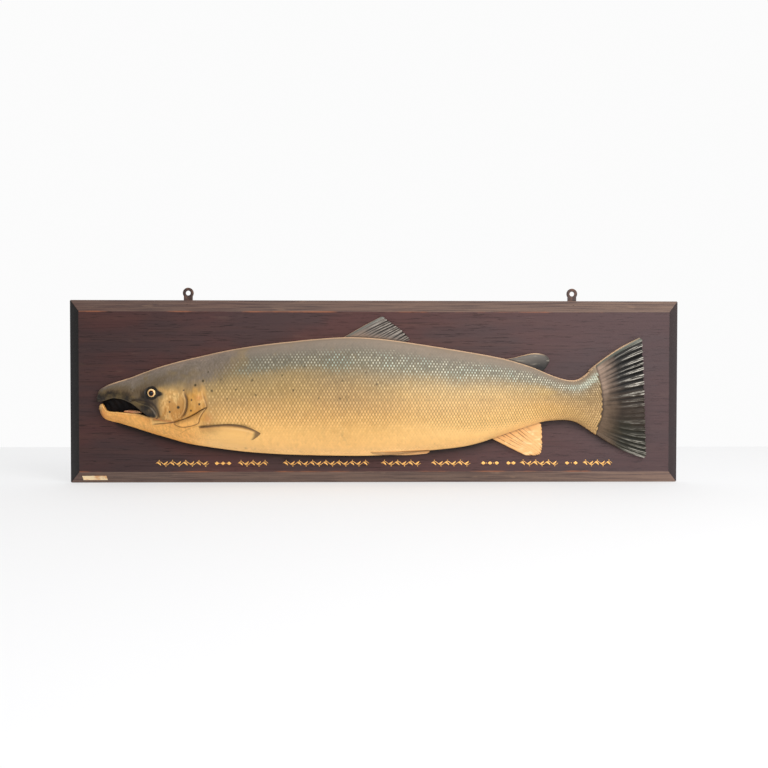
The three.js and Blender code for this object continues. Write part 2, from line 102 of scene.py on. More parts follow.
def soft_light(name, place, aim, width, height, power):
    """A rectangular soft light that faces a point."""
    lamp = bpy.data.lights.new(name, "AREA")
    lamp.shape = "RECTANGLE"
    lamp.size, lamp.size_y, lamp.energy = width, height, power
    holder = bpy.data.objects.new(name, lamp)
    holder.location = place
    holder.rotation_euler = (Vector(aim) - Vector(place)).to_track_quat("-Z", "Y").to_euler()
    bpy.context.collection.objects.link(holder)


soft_light("key_light", (1.3, -1.9, 1.6), (0.1, 0, 0), 1.4, 1.4, 44)
soft_light("low_light", (0.7, -2.3, 0.2), (0, 0, -0.1), 2.0, 0.6, 19)
print("floor at z", round(floor.location.z, 4))

# %% [markdown]
# ## Writing shaders as sums
# A finish is easier to read as an expression than as a web of nodes. `Value` wraps the socket that carries
# a number and adds Math nodes for +, -, *, / in either order. `Finish` starts a material and has one
# method, `node`, for any other node: its type, its settings, then the values or links of its sockets. Its
# `layers` lay one coat of paint over another, and `done` wires up the last colour, roughness and bump.


# %% Numbers that vary over a surface
class Value:
    """A number that varies over a surface: a socket that can be written into sums."""

    def __init__(self, finish, socket):
        self.finish, self.socket = finish, socket

    def _math(self, operation, *inputs):
        return self.finish.node("ShaderNodeMath", {"operation": operation}, dict(enumerate(inputs)))

    def __add__(self, other):
        return self._math("ADD", self, other)

    def __sub__(self, other):
        return self._math("SUBTRACT", self, other)

    def __mul__(self, other):
        return self._math("MULTIPLY", self, other)

    def __truediv__(self, other):
        return self._math("DIVIDE", self, other)

    def __rsub__(self, other):
        return self._math("SUBTRACT", other, self)

    __radd__ = __add__
    __rmul__ = __mul__

    def absolute(self):
        return self._math("ABSOLUTE", self)

    def hypot(self, other):
        return self._math("SQRT", self * self + other * other)

    def ramp(self, low, high):
        """0 at low and 1 at high, flat beyond them and eased between; it falls where low is the larger."""
        inputs = {"Value": self, "From Min": low, "From Max": high}
        return self.finish.node("ShaderNodeMapRange", {"interpolation_type": "SMOOTHSTEP"}, inputs, "Result")

    def between(self, start, full, fading, end):
        """Rises from start to full, holds, and falls from fading to end."""
        return self.ramp(start, full) * self.ramp(end, fading)


# %% Materials
class Finish:
    """A procedural material under construction."""

    def __init__(self, name, **constants):
        self.material = bpy.data.materials.new(name)
        self.material.use_nodes = True
        self.tree = self.material.node_tree
        self.shader = self.tree.nodes["Principled BSDF"]
        for socket, value in constants.items():
            self.set(socket.replace("_", " "), value)
        self.place = self.node("ShaderNodeTexCoord", {}, {}, "Object")

    def set(self, socket, value):
        self._fill(self.shader.inputs[socket], value)

    def _fill(self, target, value):
        if isinstance(value, Value):
            self.tree.links.new(value.socket, target)
        else:
            target.default_value = value

    def node(self, kind, settings, inputs, output=0):
        """Any node: its type, its settings, and the values or links of its sockets."""
        made = self.tree.nodes.new(kind)
        for key, value in settings.items():
            if key == "stops":
                self._stops(made.color_ramp, value)
            else:
                setattr(made, key, value)
        for key, value in inputs.items():
            self._fill(made.inputs[key], value)
        return Value(self, made.outputs[output])

    @staticmethod
    def _stops(color_ramp, stops):
        while len(color_ramp.elements) < len(stops):
            color_ramp.elements.new(0.5)
        for element, (position, mix) in zip(color_ramp.elements, stops):
            element.position, element.color = position, mix if len(mix) == 4 else paint(*mix)

    def mask(self, name):
        """A number stored on the mesh's own points."""
        return self.node("ShaderNodeAttribute", {"attribute_name": name}, {}, "Fac")

    def axis(self, name):
        return self.node("ShaderNodeSeparateXYZ", {}, {"Vector": self.place}, name)

    def stretched(self, scale):
        """The object's coordinates, closer together along some axes than others."""
        return self.node("ShaderNodeMapping", {}, {"Vector": self.place, "Scale": scale})

    def noise(self, scale, detail=3.0, stretch=(1, 1, 1), roughness=0.55):
        inputs = {"Vector": self.stretched(stretch), "Scale": scale, "Detail": detail, "Roughness": roughness}
        return self.node("ShaderNodeTexNoise", {"noise_dimensions": "3D"}, inputs, "Fac")

    def mix(self, under, over, share):
        """One colour laid over another."""
        made = self.tree.nodes.new("ShaderNodeMix")
        made.data_type = "RGBA"
        self._fill(made.inputs["Factor"], share)
        self._fill(made.inputs[6], under)
        self._fill(made.inputs[7], over)
        return Value(self, made.outputs[2])

    def scaled(self, color, amount):
        """A colour made lighter or darker."""
        return self.node("ShaderNodeVectorMath", {"operation": "SCALE"}, {0: color, "Scale": amount})

    def graded(self, stops, share):
        """A colour from a ramp of stops, each a place with its 0 to 255 mixing values or a linear colour."""
        return self.node("ShaderNodeValToRGB", {"stops": stops}, {"Fac": share})

    def layers(self, color, *coats):
        """Coats of (colour, share), each laid over the last."""
        for over, share in coats:
            color = self.mix(color, over, share)
        return color

    def done(self, color, roughness, height=None, distance=0.0, strength=0.5):
        """The last colour, roughness and relief of the surface; hands over the material."""
        self.set("Base Color", color)
        self.set("Roughness", roughness)
        if height is not None:
            inputs = {"Height": height, "Distance": distance, "Strength": strength}
            self.set("Normal", self.node("ShaderNodeBump", {}, inputs, "Normal"))
        return self.material


# %% Paint colours, and the floor's finish
def paint(red, green, blue):
    """A paint colour from its 0 to 255 mixing values, as the linear colour that a shader takes."""
    channels = [c / 255 for c in (red, green, blue)]
    return (*[c / 12.92 if c <= 0.04045 else ((c + 0.055) / 1.055) ** 2.4 for c in channels], 1.0)


def pots(*mixes):
    """Several paint colours at once."""
    return [paint(*mix) for mix in mixes]


floor_finish = Finish("pale_floor", Emission_Color=WHITE, Emission_Strength=FLOOR_GLOW)
floor.data.materials.append(floor_finish.done(paint(146, 146, 147), 0.9))

# %% Light of the room
ROOM_LIGHT = 0.97
FRONT_LIGHT = 0.42
RIGHT_SHARE, UP_SHARE = 0.40, 0.50  # how much a direction to the right or up counts as lit


class Room(Finish):
    """The world's light, written the same way: a brightness for each direction."""

    def __init__(self, world):
        self.tree = world.node_tree
        self.shader = self.tree.nodes["Background"]


room = Room(world)
room.set("Color", WHITE)
toward = room.node("ShaderNodeTexCoord", {}, {}, "Generated")
to_right = room.node("ShaderNodeSeparateXYZ", {}, {"Vector": toward}, "X")
to_back = room.node("ShaderNodeSeparateXYZ", {}, {"Vector": toward}, "Y")
to_top = room.node("ShaderNodeSeparateXYZ", {}, {"Vector": toward}, "Z")
lit = (to_back + RIGHT_SHARE * to_right + UP_SHARE * to_top).ramp(-0.25, 0.50)
room.set("Strength", lit * (ROOM_LIGHT - FRONT_LIGHT) + FRONT_LIGHT)

# %% [markdown]
# ## The carver's lines
# A carver of half-block fish works from three drawn lines: the back, the belly, and how far the flank stands
# off the board. The same three lines shape the CAD solids. Here they are repeated in millimetres, x along
# the fish and z up, and run through a smooth curve, so the skin can follow them far more finely.

# %% The lines of the body
FISH_BACK = -28.3  # y of the flat back of the fish, against the board
SAWN_EDGE = 5.0  # square edge left along the board
ROUNDING = 2.3  # power of the rounded cross-section; 2 is an ellipse
BACK_LINE = [
    (-560, -8), (-558, 2), (-551, 8), (-535, 16), (-495, 29), (-435, 51), (-355, 72), (-274, 89),
    (-194, 100), (-70, 111), (10, 108), (130, 91), (250, 70.5), (313, 53), (354, 36), (376, 28.5),
    (396, 24.5), (412, 26.5), (426, 35), (440, 48.5), (466, 72),
]
BELLY_LINE = [
    (-560, -16), (-558, -36), (-553.5, -49), (-544, -57.5), (-512, -66.3), (-436, -90), (-375, -105),
    (-315, -115), (-234, -124), (-113, -129), (8, -129), (90, -121), (171, -112.5), (212, -103.5),
    (261, -86.5), (308, -70.5), (340, -61), (376, -57.5), (398, -59), (416, -66), (437, -80),
    (466, -99.5),
]
RELIEF_LINE = [
    (-560, 15), (-552, 23), (-530, 31.5), (-480, 41), (-443, 47.5), (-390, 56), (-340, 62), (-240, 69),
    (-100, 73), (40, 71), (180, 60), (300, 44), (396, 30), (430, 22), (466, 13),
]
TAIL_ROOT = 430  # past here a fin leaves the body at its end, not at its back or belly
TAIL_LINE = [  # z, x
    (-170, 446), (-84, 449), (-69, 453), (-56, 458), (-39, 461.5), (-16, 461.5), (4, 459), (27, 454.5),
    (50, 448.5), (150, 440),
]


def tail_end_at(z):
    """Where the scaled body ends at a height."""
    return np.interp(z, *zip(*TAIL_LINE))


def smooth_line(stations):
    """A smooth line through (x, value) stations, as a function of an array of x."""
    at, value = np.array(stations, float).T
    before, after = np.r_[0, 0 : len(at) - 1], np.r_[1 : len(at), len(at) - 1]
    slope = (value[after] - value[before]) / (at[after] - at[before])

    def line(x):
        i = np.clip(np.searchsorted(at, x), 1, len(at) - 1)
        span = at[i] - at[i - 1]
        t = np.clip((x - at[i - 1]) / span, 0, 1)
        start = (2 * t**3 - 3 * t**2 + 1) * value[i - 1] + (t**3 - 2 * t**2 + t) * span * slope[i - 1]
        return start + (3 * t**2 - 2 * t**3) * value[i] + (t**3 - t**2) * span * slope[i]

    return line


back_at, belly_at, relief_at = (smooth_line(line) for line in (BACK_LINE, BELLY_LINE, RELIEF_LINE))


def body_point(x, turn):
    """A point of the flank: turn runs from 0 at the belly to 1 at the back. Returns x, height and z."""
    top, bottom = back_at(x), belly_at(x)
    angle = np.pi * turn
    across = -np.sign(np.cos(angle)) * np.abs(np.cos(angle)) ** (2 / ROUNDING)
    rise = np.abs(np.sin(angle)) ** (2 / ROUNDING)
    height = SAWN_EDGE + (relief_at(x) - SAWN_EDGE) * rise
    return np.stack([x, height, (top + bottom) / 2 + (top - bottom) / 2 * across], -1)


def level_at(x, z):
    """How far up the body a place lies: -1 at the belly and 1 at the back."""
    top, bottom = back_at(x), belly_at(x)
    return (2 * z - top - bottom) / (top - bottom)


def flank_height(x, z):
    """How far the flank stands off the board at a place seen from the front."""
    across = np.clip(np.abs(level_at(x, z)), 0, 1)
    return SAWN_EDGE + (relief_at(x) - SAWN_EDGE) * (1 - across**ROUNDING) ** (1 / ROUNDING)


def in_scene(points):
    """Points as x, height off the board and z, in millimetres, to the scene's metres."""
    return np.stack([points[..., 0], FISH_BACK - points[..., 1], points[..., 2]], -1) * MM


middle = np.array([-100.0])
print("fish at x -100:", float(back_at(middle)[0]), "to", float(belly_at(middle)[0]), "mm")

# %% [markdown]
# ## A grid laid over the carving
# Skin, fins and gilding are all sheets with relief on one side and a flat back. So each starts as a grid
# primitive, whose points are placed by a formula. Then its border is extruded, flattened onto the back
# plane, and filled, which leaves one closed form with its faces outwards.


# %% Select, name and edit
def deselect():
    """Operators act on all that is selected, so nothing is left selected before a new form is made."""
    bpy.ops.object.select_all(action="DESELECT")


def pick(form):
    deselect()
    form.select_set(True)
    bpy.context.view_layer.objects.active = form


def named(name):
    """The form that an operator just made, with its name."""
    form = bpy.context.active_object
    form.name = form.data.name = name
    return form


@contextmanager
def editing(selected=None):
    """Edit mode for the length of a with block, after selecting everything or nothing where it says so."""
    bpy.ops.object.mode_set(mode="EDIT")
    if selected:
        bpy.ops.mesh.select_all(action=selected)
    yield
    bpy.ops.object.mode_set(mode="OBJECT")


def face_outwards():
    bpy.ops.mesh.select_all(action="SELECT")
    bpy.ops.mesh.normals_make_consistent(inside=False)


def applied(form, modifier):
    bpy.context.view_layer.objects.active = form
    bpy.ops.object.modifier_apply(modifier=modifier.name)


# %% Points and masks of a form
def read_points(form):
    points = np.empty(len(form.data.vertices) * 3)
    form.data.vertices.foreach_get("co", points)
    return points.reshape(-1, 3)


def write_points(form, points):
    form.data.vertices.foreach_set("co", np.ascontiguousarray(points, float).ravel())
    form.data.update()


def store(form, masks):
    """Stores each mask on the points of a form."""
    for name, values in masks.items():
        stored = form.data.attributes.new(name, "FLOAT", "POINT")
        stored.data.foreach_set("value", np.broadcast_to(values, len(form.data.vertices)).astype(np.float32))


def front_view(form):
    """The x, height and z of a form's points, in millimetres."""
    points = read_points(form) / MM
    return points[:, 0], FISH_BACK - points[:, 1], points[:, 2]


def stored(form, name):
    """A mask read back from the points of a form."""
    values = np.empty(len(form.data.vertices), np.float32)
    form.data.attributes[name].data.foreach_get("value", values)
    return values.astype(float)


# %% A closed form from a grid
def carved_form(name, columns, rows, place, back):
    """A closed form: place(u, w) gives points in millimetres for u, w in 0..1; back is the back's height."""
    deselect()
    bpy.ops.mesh.primitive_grid_add(x_subdivisions=columns, y_subdivisions=rows, size=2, calc_uvs=False)
    form = named(name)
    flat = (read_points(form) + 1) / 2
    write_points(form, in_scene(place(flat[:, 0], flat[:, 1])))
    store(form, {"side": flat[:, 0], "reach": flat[:, 1]})
    with editing("DESELECT"):
        bpy.ops.mesh.select_mode(type="EDGE")
        bpy.ops.mesh.select_non_manifold(use_wire=False, use_multi_face=False, use_non_contiguous=False)
        bpy.ops.mesh.extrude_region_move()
        bpy.ops.transform.resize(value=(1, 0, 1), center_override=(0, (FISH_BACK - back) * MM, 0))
        bpy.ops.mesh.edge_face_add()
        face_outwards()
    return form


def triangles(form):
    return sum(len(face.vertices) - 2 for face in form.data.polygons)


def finished(form, finish, replaces=(), smooth_angle=40):
    """The last steps of every piece: shading, material, the body it rides on and the nodes it stands for."""
    pick(form)
    bpy.ops.object.shade_smooth_by_angle(angle=math.radians(smooth_angle))
    form.data.materials.clear()
    form.data.materials.append(finish)
    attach(form, "root")
    if replaces:
        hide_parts(*replaces)
    print(form.name, triangles(form), "triangles")
    return form


# %% Eased steps, bells and drawn lines
def ease(value, low, high):
    """0 below low, 1 above high, smooth between."""
    t = np.clip((value - low) / (high - low), 0, 1)
    return t * t * (3 - 2 * t)


def bell(distance, width):
    return np.exp(-((distance / width) ** 2))


NEAR, FAR = 35.0, 1000.0  # millimetres
LINE_STEPS = 8  # pieces of line between two points


class CutLine:
    """A line drawn on the flank: smooth through its points, with distances to either side of it."""

    def __init__(self, points):
        knots = np.array(points, float)
        self.dense = spline(knots, np.linspace(0, 1, (len(knots) - 1) * LINE_STEPS + 1))

    def distance(self, x, z):
        """Signed distance: positive on the right hand of the way the line runs. Far points count as FAR."""
        low, high = self.dense.min(0) - NEAR, self.dense.max(0) + NEAR
        near = (x > low[0]) & (x < high[0]) & (z > low[1]) & (z < high[1])
        start, run = self.dense[0], self.dense[-1] - self.dense[0]
        found = np.where((x - start[0]) * run[1] - (z - start[1]) * run[0] < 0, -FAR, FAR)
        found[near] = self._near_distance(x[near], z[near])
        return found

    def _near_distance(self, x, z):
        best, sign = np.full(x.shape, FAR), np.ones(x.shape)
        for (xa, za), (xb, zb) in zip(self.dense[:-1], self.dense[1:]):
            run = max((xb - xa) ** 2 + (zb - za) ** 2, 1e-12)
            t = np.clip(((x - xa) * (xb - xa) + (z - za) * (zb - za)) / run, 0, 1)
            gap = np.hypot(x - xa - t * (xb - xa), z - za - t * (zb - za))
            side = (x - xa) * (zb - za) - (z - za) * (xb - xa)
            closer = gap < best
            best = np.where(closer, gap, best)
            sign = np.where(closer, np.where(side < 0, -1.0, 1.0), sign)
        return best * sign


def spline(knots, t):
    """Points of a smooth curve through knots, at each t from 0 to 1."""
    last = len(knots) - 1
    place = np.clip(np.asarray(t, float) * last, 0, last)
    i = np.minimum(place.astype(int), last - 1)
    w = (place - i)[..., None]
    before, after = knots[np.maximum(i - 1, 0)], knots[np.minimum(i + 2, last)]
    here, there = knots[i], knots[i + 1]
    lean, next_lean = (there - before) / 2, (after - here) / 2
    return ((2 * here - 2 * there + lean + next_lean) * w**3
            + (3 * there - 3 * here - 2 * lean - next_lean) * w**2 + lean * w + here)

# %% [markdown]
# ## The cuts that draw the head
# On the real carving every plate of the head is a small step or groove: the lips, the long maxilla beside
# the mouth, the ring round the eye, the crescent behind the cheek, the gill cover and the flap under it.
# Sculpting by hand can't be repeated, so each cut is drawn as a smooth line or outline, and its depth is a
# function of the distance to that line. The same distances later place the paint, so it sits in the cuts.

# %% Lines and outlines of the cuts
EYE = (-443.0, -1.2)
EYE_RADIUS = 8.8
UPPER_LIP_POINTS = [
    (-578, -20), (-558, -20), (-549, -19.4), (-539, -16.6), (-528, -12.8), (-516, -12.2), (-504, -14.2),
    (-492, -18.7), (-480, -24.2), (-471.7, -31), (-462.7, -38), (-453, -45.3), (-444, -48.9),
]
LOWER_LIP_POINTS = [
    (-578, -33), (-558, -32.5), (-554, -29.5), (-550.5, -25), (-547, -23.4), (-544.2, -25.8),
    (-541.5, -31.2), (-537.5, -36.8), (-529, -39.3), (-514.6, -39.8), (-489, -41.9), (-469, -43.2),
    (-454, -47.6), (-444, -49.1),
]
upper_lip, lower_lip = CutLine(UPPER_LIP_POINTS), CutLine(LOWER_LIP_POINTS)
under_eye = CutLine([
    (-484, -14.5), (-470, -15), (-458, -16.5), (-447, -19.5), (-437.5, -26), (-431.5, -36), (-428.5, -48),
])
cheek_edge = CutLine([
    (-380, 15), (-378, 5), (-376.8, -4), (-374, -12), (-373, -20), (-374.2, -30), (-377.2, -39),
    (-382, -46), (-390, -53), (-399, -57.5),
])
gill_line = CutLine([
    (-332.5, -29.5), (-341.5, -33.6), (-355.6, -42.2), (-369.6, -49.2), (-380.6, -53.4), (-395.8, -58),
    (-405.8, -59.9), (-420, -61.6), (-443, -63.6),
])
jaw_line = CutLine([(-446, -50), (-433, -53), (-420, -56.2), (-408, -57.8), (-396, -59.2)])
throat_fold = CutLine([(-350, -65.5), (-367.8, -70.8), (-378.9, -76.8), (-388, -82)])
front_fold = CutLine([(-429, -60), (-414, -66), (-399, -72), (-383, -77), (-366, -72)])
fin_crease = CutLine([
    (-351, -67.6), (-334, -66.6), (-317, -65.2), (-300, -64.2), (-277, -64.2), (-258, -66.6), (-240, -73),
])


class Outline:
    """A closed smooth outline on the flank, with the distance inside it as a positive number."""

    def __init__(self, points):
        self.line = CutLine([*points, points[0]])

    def inside(self, x, z):
        odd = np.zeros(x.shape, bool)
        for (xa, za), (xb, zb) in zip(self.line.dense[:-1], self.line.dense[1:]):
            if za != zb:
                odd ^= ((za > z) != (zb > z)) & (x < xa + (z - za) * (xb - xa) / (zb - za))
        return np.abs(self.line.distance(x, z)) * np.where(odd, 1, -1)


maxilla = Outline([
    (-489, -20.2), (-478, -17.6), (-466, -21.8), (-456, -24.4), (-446.5, -28), (-440, -34.5),
    (-435, -42), (-432.3, -48), (-436, -51.6), (-444, -50.4), (-453, -46.2), (-463, -38.6),
    (-472, -31.5), (-480, -24.8),
])
gill_cover = Outline([
    (-380, 16), (-366, 24), (-353, 26), (-346.5, 17), (-342.8, 8), (-339, -6), (-335.3, -16),
    (-333, -24), (-333, -29.5), (-341.5, -33.2), (-355.6, -41.8), (-369.6, -48.8), (-380.6, -53),
    (-391, -56.2), (-383, -47), (-377.5, -39), (-374.4, -30), (-373.2, -20), (-374.2, -12), (-377, -4),
])
gill_flap = Outline([
    (-334, -31.4), (-337, -35), (-341, -40.5), (-344.6, -46), (-347.4, -52), (-350, -60), (-358, -63.6),
    (-367, -66), (-381, -67.8), (-391.8, -65), (-398, -60.9), (-394, -59.2), (-380.6, -54.6),
    (-369.6, -50.4), (-355.6, -43.4), (-342, -34.8),
])


def eye_socket(x, z):
    """0 at the rim of the eye and 1 at the edge of the almond-shaped hollow round it."""
    dx, dz = x - EYE[0], z - EYE[1]
    radius = np.hypot(dx, dz)
    lean = (dx * math.cos(math.radians(5)) - dz * math.sin(math.radians(5))) / np.maximum(radius, 1e-6)
    edge = 13.4 + 8.2 * np.clip(lean, 0, 1) ** 26 + 0.8 * np.clip(-lean, 0, 1) ** 4
    return (radius - EYE_RADIUS) / (edge - EYE_RADIUS), radius


print("maxilla plate:", len(maxilla.line.dense), "outline steps")

# %% [markdown]
# ### Depth of the cuts
# Each part of the head stands a little above or below the run of the flank. `carving` adds them up in
# millimetres. A step is an eased rise over a millimetre or so, a groove is a bell curve laid along its line,
# and the hollow round the eye is a ring. Behind the head the skin lies lower by the depth of the scales. Last
# come the faint waves that a knife leaves everywhere.

# %% Where the scales leave the skin bare
SCALE_DEPTH = 0.85
HEAD_EDGE = [  # z, x
    (-66, -347), (-52, -346), (-30, -331), (-6, -337), (8, -341), (18, -345), (38, -352), (62, -364),
    (88, -384),
]


def head_end(x, z):
    """Distance behind the edge where the head stops and the scales begin."""
    return x - np.interp(z, *zip(*HEAD_EDGE))


def bare_skin(x, z):
    """1 where the skin behind the gills is left smooth, under and around the pectoral fin."""
    reach = np.hypot(np.clip(x + 262, 0, None) / 34, np.clip(np.abs(z + 92) - 14, 0, None) / 16)
    behind_gill = ease(np.abs(z + 50), 26, 8) * ease(x, -318, -334)
    return np.maximum(ease(reach, 1.0, 0.25) * ease(z, -54, -61), behind_gill)


def scaled_share(x, z):
    """How fully the scales are cut, from 0 on the head to 1 along the flank."""
    behind = ease(head_end(x, z), 1.0, 26.0)
    across = level_at(x, z)
    return behind * (1 - bare_skin(x, z)) * ease(across, -0.99, -0.80) * ease(across, 0.95, 0.82)


print("scales are", SCALE_DEPTH, "mm deep")

# %% How deep each cut is
NOSTRILS = [(-487.5, 5.4), (-481.0, 2.6)]
NOSTRIL_FLAP = (-484.2, 4.0)


def to_point(x, z, place, stretch=(1, 1)):
    """Distance to one place, counted longer across or upwards where stretch says."""
    return np.hypot((x - place[0]) * stretch[0], (z - place[1]) * stretch[1])


def mouth_cuts(x, z):
    """The rolled lips, and the maxilla plate over the corner of the mouth."""
    over_lip, under_lip = -upper_lip.distance(x, z), lower_lip.distance(x, z)
    forward = ease(x, -440, -452)
    upper_roll = 0.9 * bell(over_lip - 2.4, 1.5) - 0.7 * bell(over_lip - 5.6, 1.8)
    lower_roll = 0.8 * bell(under_lip - 2.0, 1.6) - 0.5 * bell(under_lip - 5.2, 2.0)
    depth = forward * (ease(x, -462, -478) * upper_roll + lower_roll)
    for lip in (over_lip, under_lip):
        depth -= forward * 1.3 * np.exp(-np.clip(lip, 0, None) / 0.7) * (lip > -0.5)
    plate = maxilla.inside(x, z)
    depth += 2.1 * ease(plate, -0.5, 1.1) + 0.6 * ease(plate, 1.5, 5.0)
    return depth - 1.3 * bell(plate + 1.7, 1.2) * ease(over_lip, 1.0, 4.0)


def eye_cuts(x, z):
    """The hollow round the eye with its ring and brow, the fold under it, and the nostrils before it."""
    ring, radius = eye_socket(x, z)
    depth = 0.6 * bell(radius - 10.4, 1.0) - 1.0 * bell(ring - 0.55, 0.3) * (radius > EYE_RADIUS)
    brow = ease(z, EYE[1] - 6, EYE[1] + 8)
    depth += (0.3 + 0.8 * brow) * bell(ring - 1.12, 0.25)
    depth -= 4.0 * ease(radius, EYE_RADIUS + 0.6, EYE_RADIUS - 0.4)
    depth -= 1.3 * bell(under_eye.distance(x, z), 2.6)
    for place in NOSTRILS:
        depth -= 1.7 * bell(to_point(x, z, place), 1.9)
    return depth + 0.6 * bell(to_point(x, z, NOSTRIL_FLAP), 2.0)


def gill_cuts(x, z):
    """The crescent behind the cheek, the gill cover, the flap under it and the grooves between them."""
    crest = cheek_edge.distance(x, z)
    fade = ease(z, 6, -10) * ease(z, -60, -50)
    depth = fade * (0.8 * bell(crest - 2.4, 2.6) - 2.5 * bell(crest + 2.4, 2.2))
    depth += 0.9 * ease(crest, -1, 1) * ease(x, -432, -418) * ease(z, 16, 2) * ease(z, -60, -50)
    cover = gill_cover.inside(x, z)
    depth += 2.1 * ease(cover, -0.8, 1.4) * ease(x, -378, -352) * ease(z, 16, -18)
    depth -= 0.9 * bell(cover + 1.4, 1.1) * ease(x, -350, -343) * ease(z, 10, -14)
    groove = 0.7 + 0.9 * ease(x, -446, -425)
    depth -= groove * bell(gill_line.distance(x, z), 1.4) * ease(x, -446, -436)
    flap = gill_flap.inside(x, z)
    depth += 1.5 * ease(flap, -0.5, 0.9) + 0.5 * bell(flap - 3.0, 2.0) - 1.1 * bell(flap + 1.3, 1.0)
    fold = throat_fold.distance(x, z)
    return depth + 0.8 * ease(fold, 1.0, -1.0) * bell(fold, 7) - 0.9 * bell(jaw_line.distance(x, z), 1.2)


def carving(x, z):
    """What the cuts add to the height of the flank, in millimetres."""
    depth = mouth_cuts(x, z) + eye_cuts(x, z) + gill_cuts(x, z)
    under_jaw_line = ease(jaw_line.distance(x, z), -0.5, 2.0) * ease(x, -380, -425)
    lowered = np.maximum(under_jaw_line, ease(z, -46, -50) * ease(x, -440, -446))
    depth -= 1.7 * lowered * ease(z, -14, -24)
    depth -= 1.0 * bell(fin_crease.distance(x, z) + 0.6, 1.6) * ease(x, -352, -346) * ease(x, -236, -246)
    rounded = ease(np.abs(level_at(x, z)), 0.9, 1.0)
    depth -= SCALE_DEPTH * ease(head_end(x, z), -0.5, 6.0) * (1 - 0.6 * rounded)
    knife = np.sin(x / 7.3 + z / 11.0) * np.sin(z / 6.1 - x / 17.0) + np.sin(x / 23.0) * np.sin(z / 19.0)
    return depth - 0.25 + 0.10 * knife


print("eye at", EYE, "with", len(NOSTRILS), "nostrils before it")

# %% [markdown]
# ## The skin
# The flesh of the CAD model is parted into its named pieces; on show it is one carved surface with no seam.
# A grid of 425 columns from snout to tail and 195 rows from belly to back is laid over the body, closest
# together on the head. The open mouth is then cut right through with a boolean, because a straight saw
# cut gives lips a clean edge that no grid can.

# %% Place the skin's grid
SKIN_SPACING = [(-560, -450, 0.95), (-450, -330, 0.75), (-330, -230, 2.0), (-230, 400, 8.0), (400, 463, 3.2)]
SKIN_ROWS = 195
TAIL_NARROWS, TAIL_END = 395, 462.0  # between these the grid's columns bend to the end of the body
MOUTH_CUT = (-2, 70)  # the saw's reach in height off the board
stations = np.unique(np.concatenate([np.arange(a, b, step) for a, b, step in SKIN_SPACING] + [[TAIL_END]]))


def facing_out(x, turn):
    """The direction straight out of the flank."""
    turn = np.clip(turn, 0.003, 0.997)
    along = body_point(x + 0.5, turn) - body_point(x - 0.5, turn)
    up = body_point(x, turn + 0.003) - body_point(x, turn - 0.003)
    normal = np.cross(up, along)
    return normal / np.linalg.norm(normal, axis=-1, keepdims=True)


def skin_place(u, w):
    """The carved surface: u runs from snout to tail and w from belly to back."""
    nominal = np.interp(u, np.linspace(0, 1, len(stations)), stations)
    end = tail_end_at(body_point(nominal, w)[:, 2])
    x = nominal + ease(nominal, TAIL_NARROWS, TAIL_END) * (end - TAIL_END)
    base = body_point(x, w)
    return base + facing_out(x, w) * carving(base[:, 0], base[:, 2])[:, None]


# %% Carve the skin and cut the mouth
def prism(name, outline, low, high):
    """A straight-sided block with an outline of (x, z) points, between two heights off the board."""
    deselect()
    bpy.ops.mesh.primitive_circle_add(vertices=len(outline), fill_type="NGON")
    block = named(name)
    write_points(block, in_scene(np.array([(x, low, z) for x, z in outline], float)))
    with editing("SELECT"):
        bpy.ops.mesh.extrude_region_move(TRANSFORM_OT_translate={"value": (0, (low - high) * MM, 0)})
        face_outwards()
    return block


def cut_away(form, tool):
    """Takes one form away from another."""
    cut = form.modifiers.new("cut", "BOOLEAN")
    cut.operation, cut.object, cut.solver = "DIFFERENCE", tool, "MANIFOLD"
    applied(form, cut)
    bpy.data.objects.remove(tool)


def mouth_outline():
    """The outline of the open mouth, running from the snout along the upper lip and back along the lower."""
    upper, lower = upper_lip.dense, lower_lip.dense
    keep = upper[:, 1] > lower[-1, 1]
    return [*map(tuple, upper[keep]), *map(tuple, lower[::-1])]


skin = carved_form("salmon_skin", len(stations) - 1, SKIN_ROWS, skin_place, 0)
cut_away(skin, prism("mouth_cut", mouth_outline(), *MOUTH_CUT))
print("skin:", triangles(skin), "triangles")

# %% [markdown]
# ## Where the paint goes
# The painter worked over the carving with a few pots: grey-brown on the back, warm gold on the flank and
# cheek, near-black on the snout, a buff line along the top edge, dark strokes in the cuts, light lines on the
# ridges and small round spots. The buff line is partly a painted highlight where the top edge faces the
# light, the dark strokes are partly painted shade in the grooves, and the light lines are partly painted
# highlight.
# Each pot gets a mask, a number from 0 to 1 worked out from the same lines and stored on the points.
# Skin and scales read the same masks, so a scale wears the colour of the place it grows from.

# %% Spots, and the edge of the dark
SPOTS = [
    (-405.5, -18.5, 1.7), (-388.1, -29, 2.9), (-405.6, -38, 2.1), (-361.4, -14.4, 1.7),
    (-345.5, -22.4, 2.0), (-362.6, -35.1, 1.9), (-377.4, 4.6, 1.7), (-354.4, 14.6, 2.3),
    (-339.6, 22.9, 2.3), (-321, 3.6, 2.2), (-304.6, 25.7, 1.7), (-274.1, 6.5, 2.0), (-242.3, 24.5, 2.4),
    (-235.1, -4.2, 2.2), (-183.4, 34.2, 1.9), (-161.3, 5, 2.3), (-112.3, -10.2, 1.9), (-70.8, -11, 1.9),
    (-65.6, 23.5, 1.9), (1.2, 16.7, 2.0), (-330, 40, 1.6), (-291, -12, 1.6), (-205, 48, 1.7),
    (-140, 52, 1.6), (-20, 40, 1.6),
]
dark_edge = CutLine([
    (-600, -21), (-548, -20.5), (-520, -24), (-480, -40), (-446, -50), (-434, -50), (-429, -42),
    (-430, -24), (-429, -12), (-423, -7), (-427, 0), (-431, 8), (-428, 11), (-417, 13), (-402, 14),
    (-383, 14), (-364, 17), (-345, 20), (-318, 25), (-280, 36), (-240, 48),
])


def spotted(x, z):
    return np.max([ease(to_point(x, z, (sx, sz)), r * 1.5, r * 0.55) for sx, sz, r in SPOTS], axis=0)


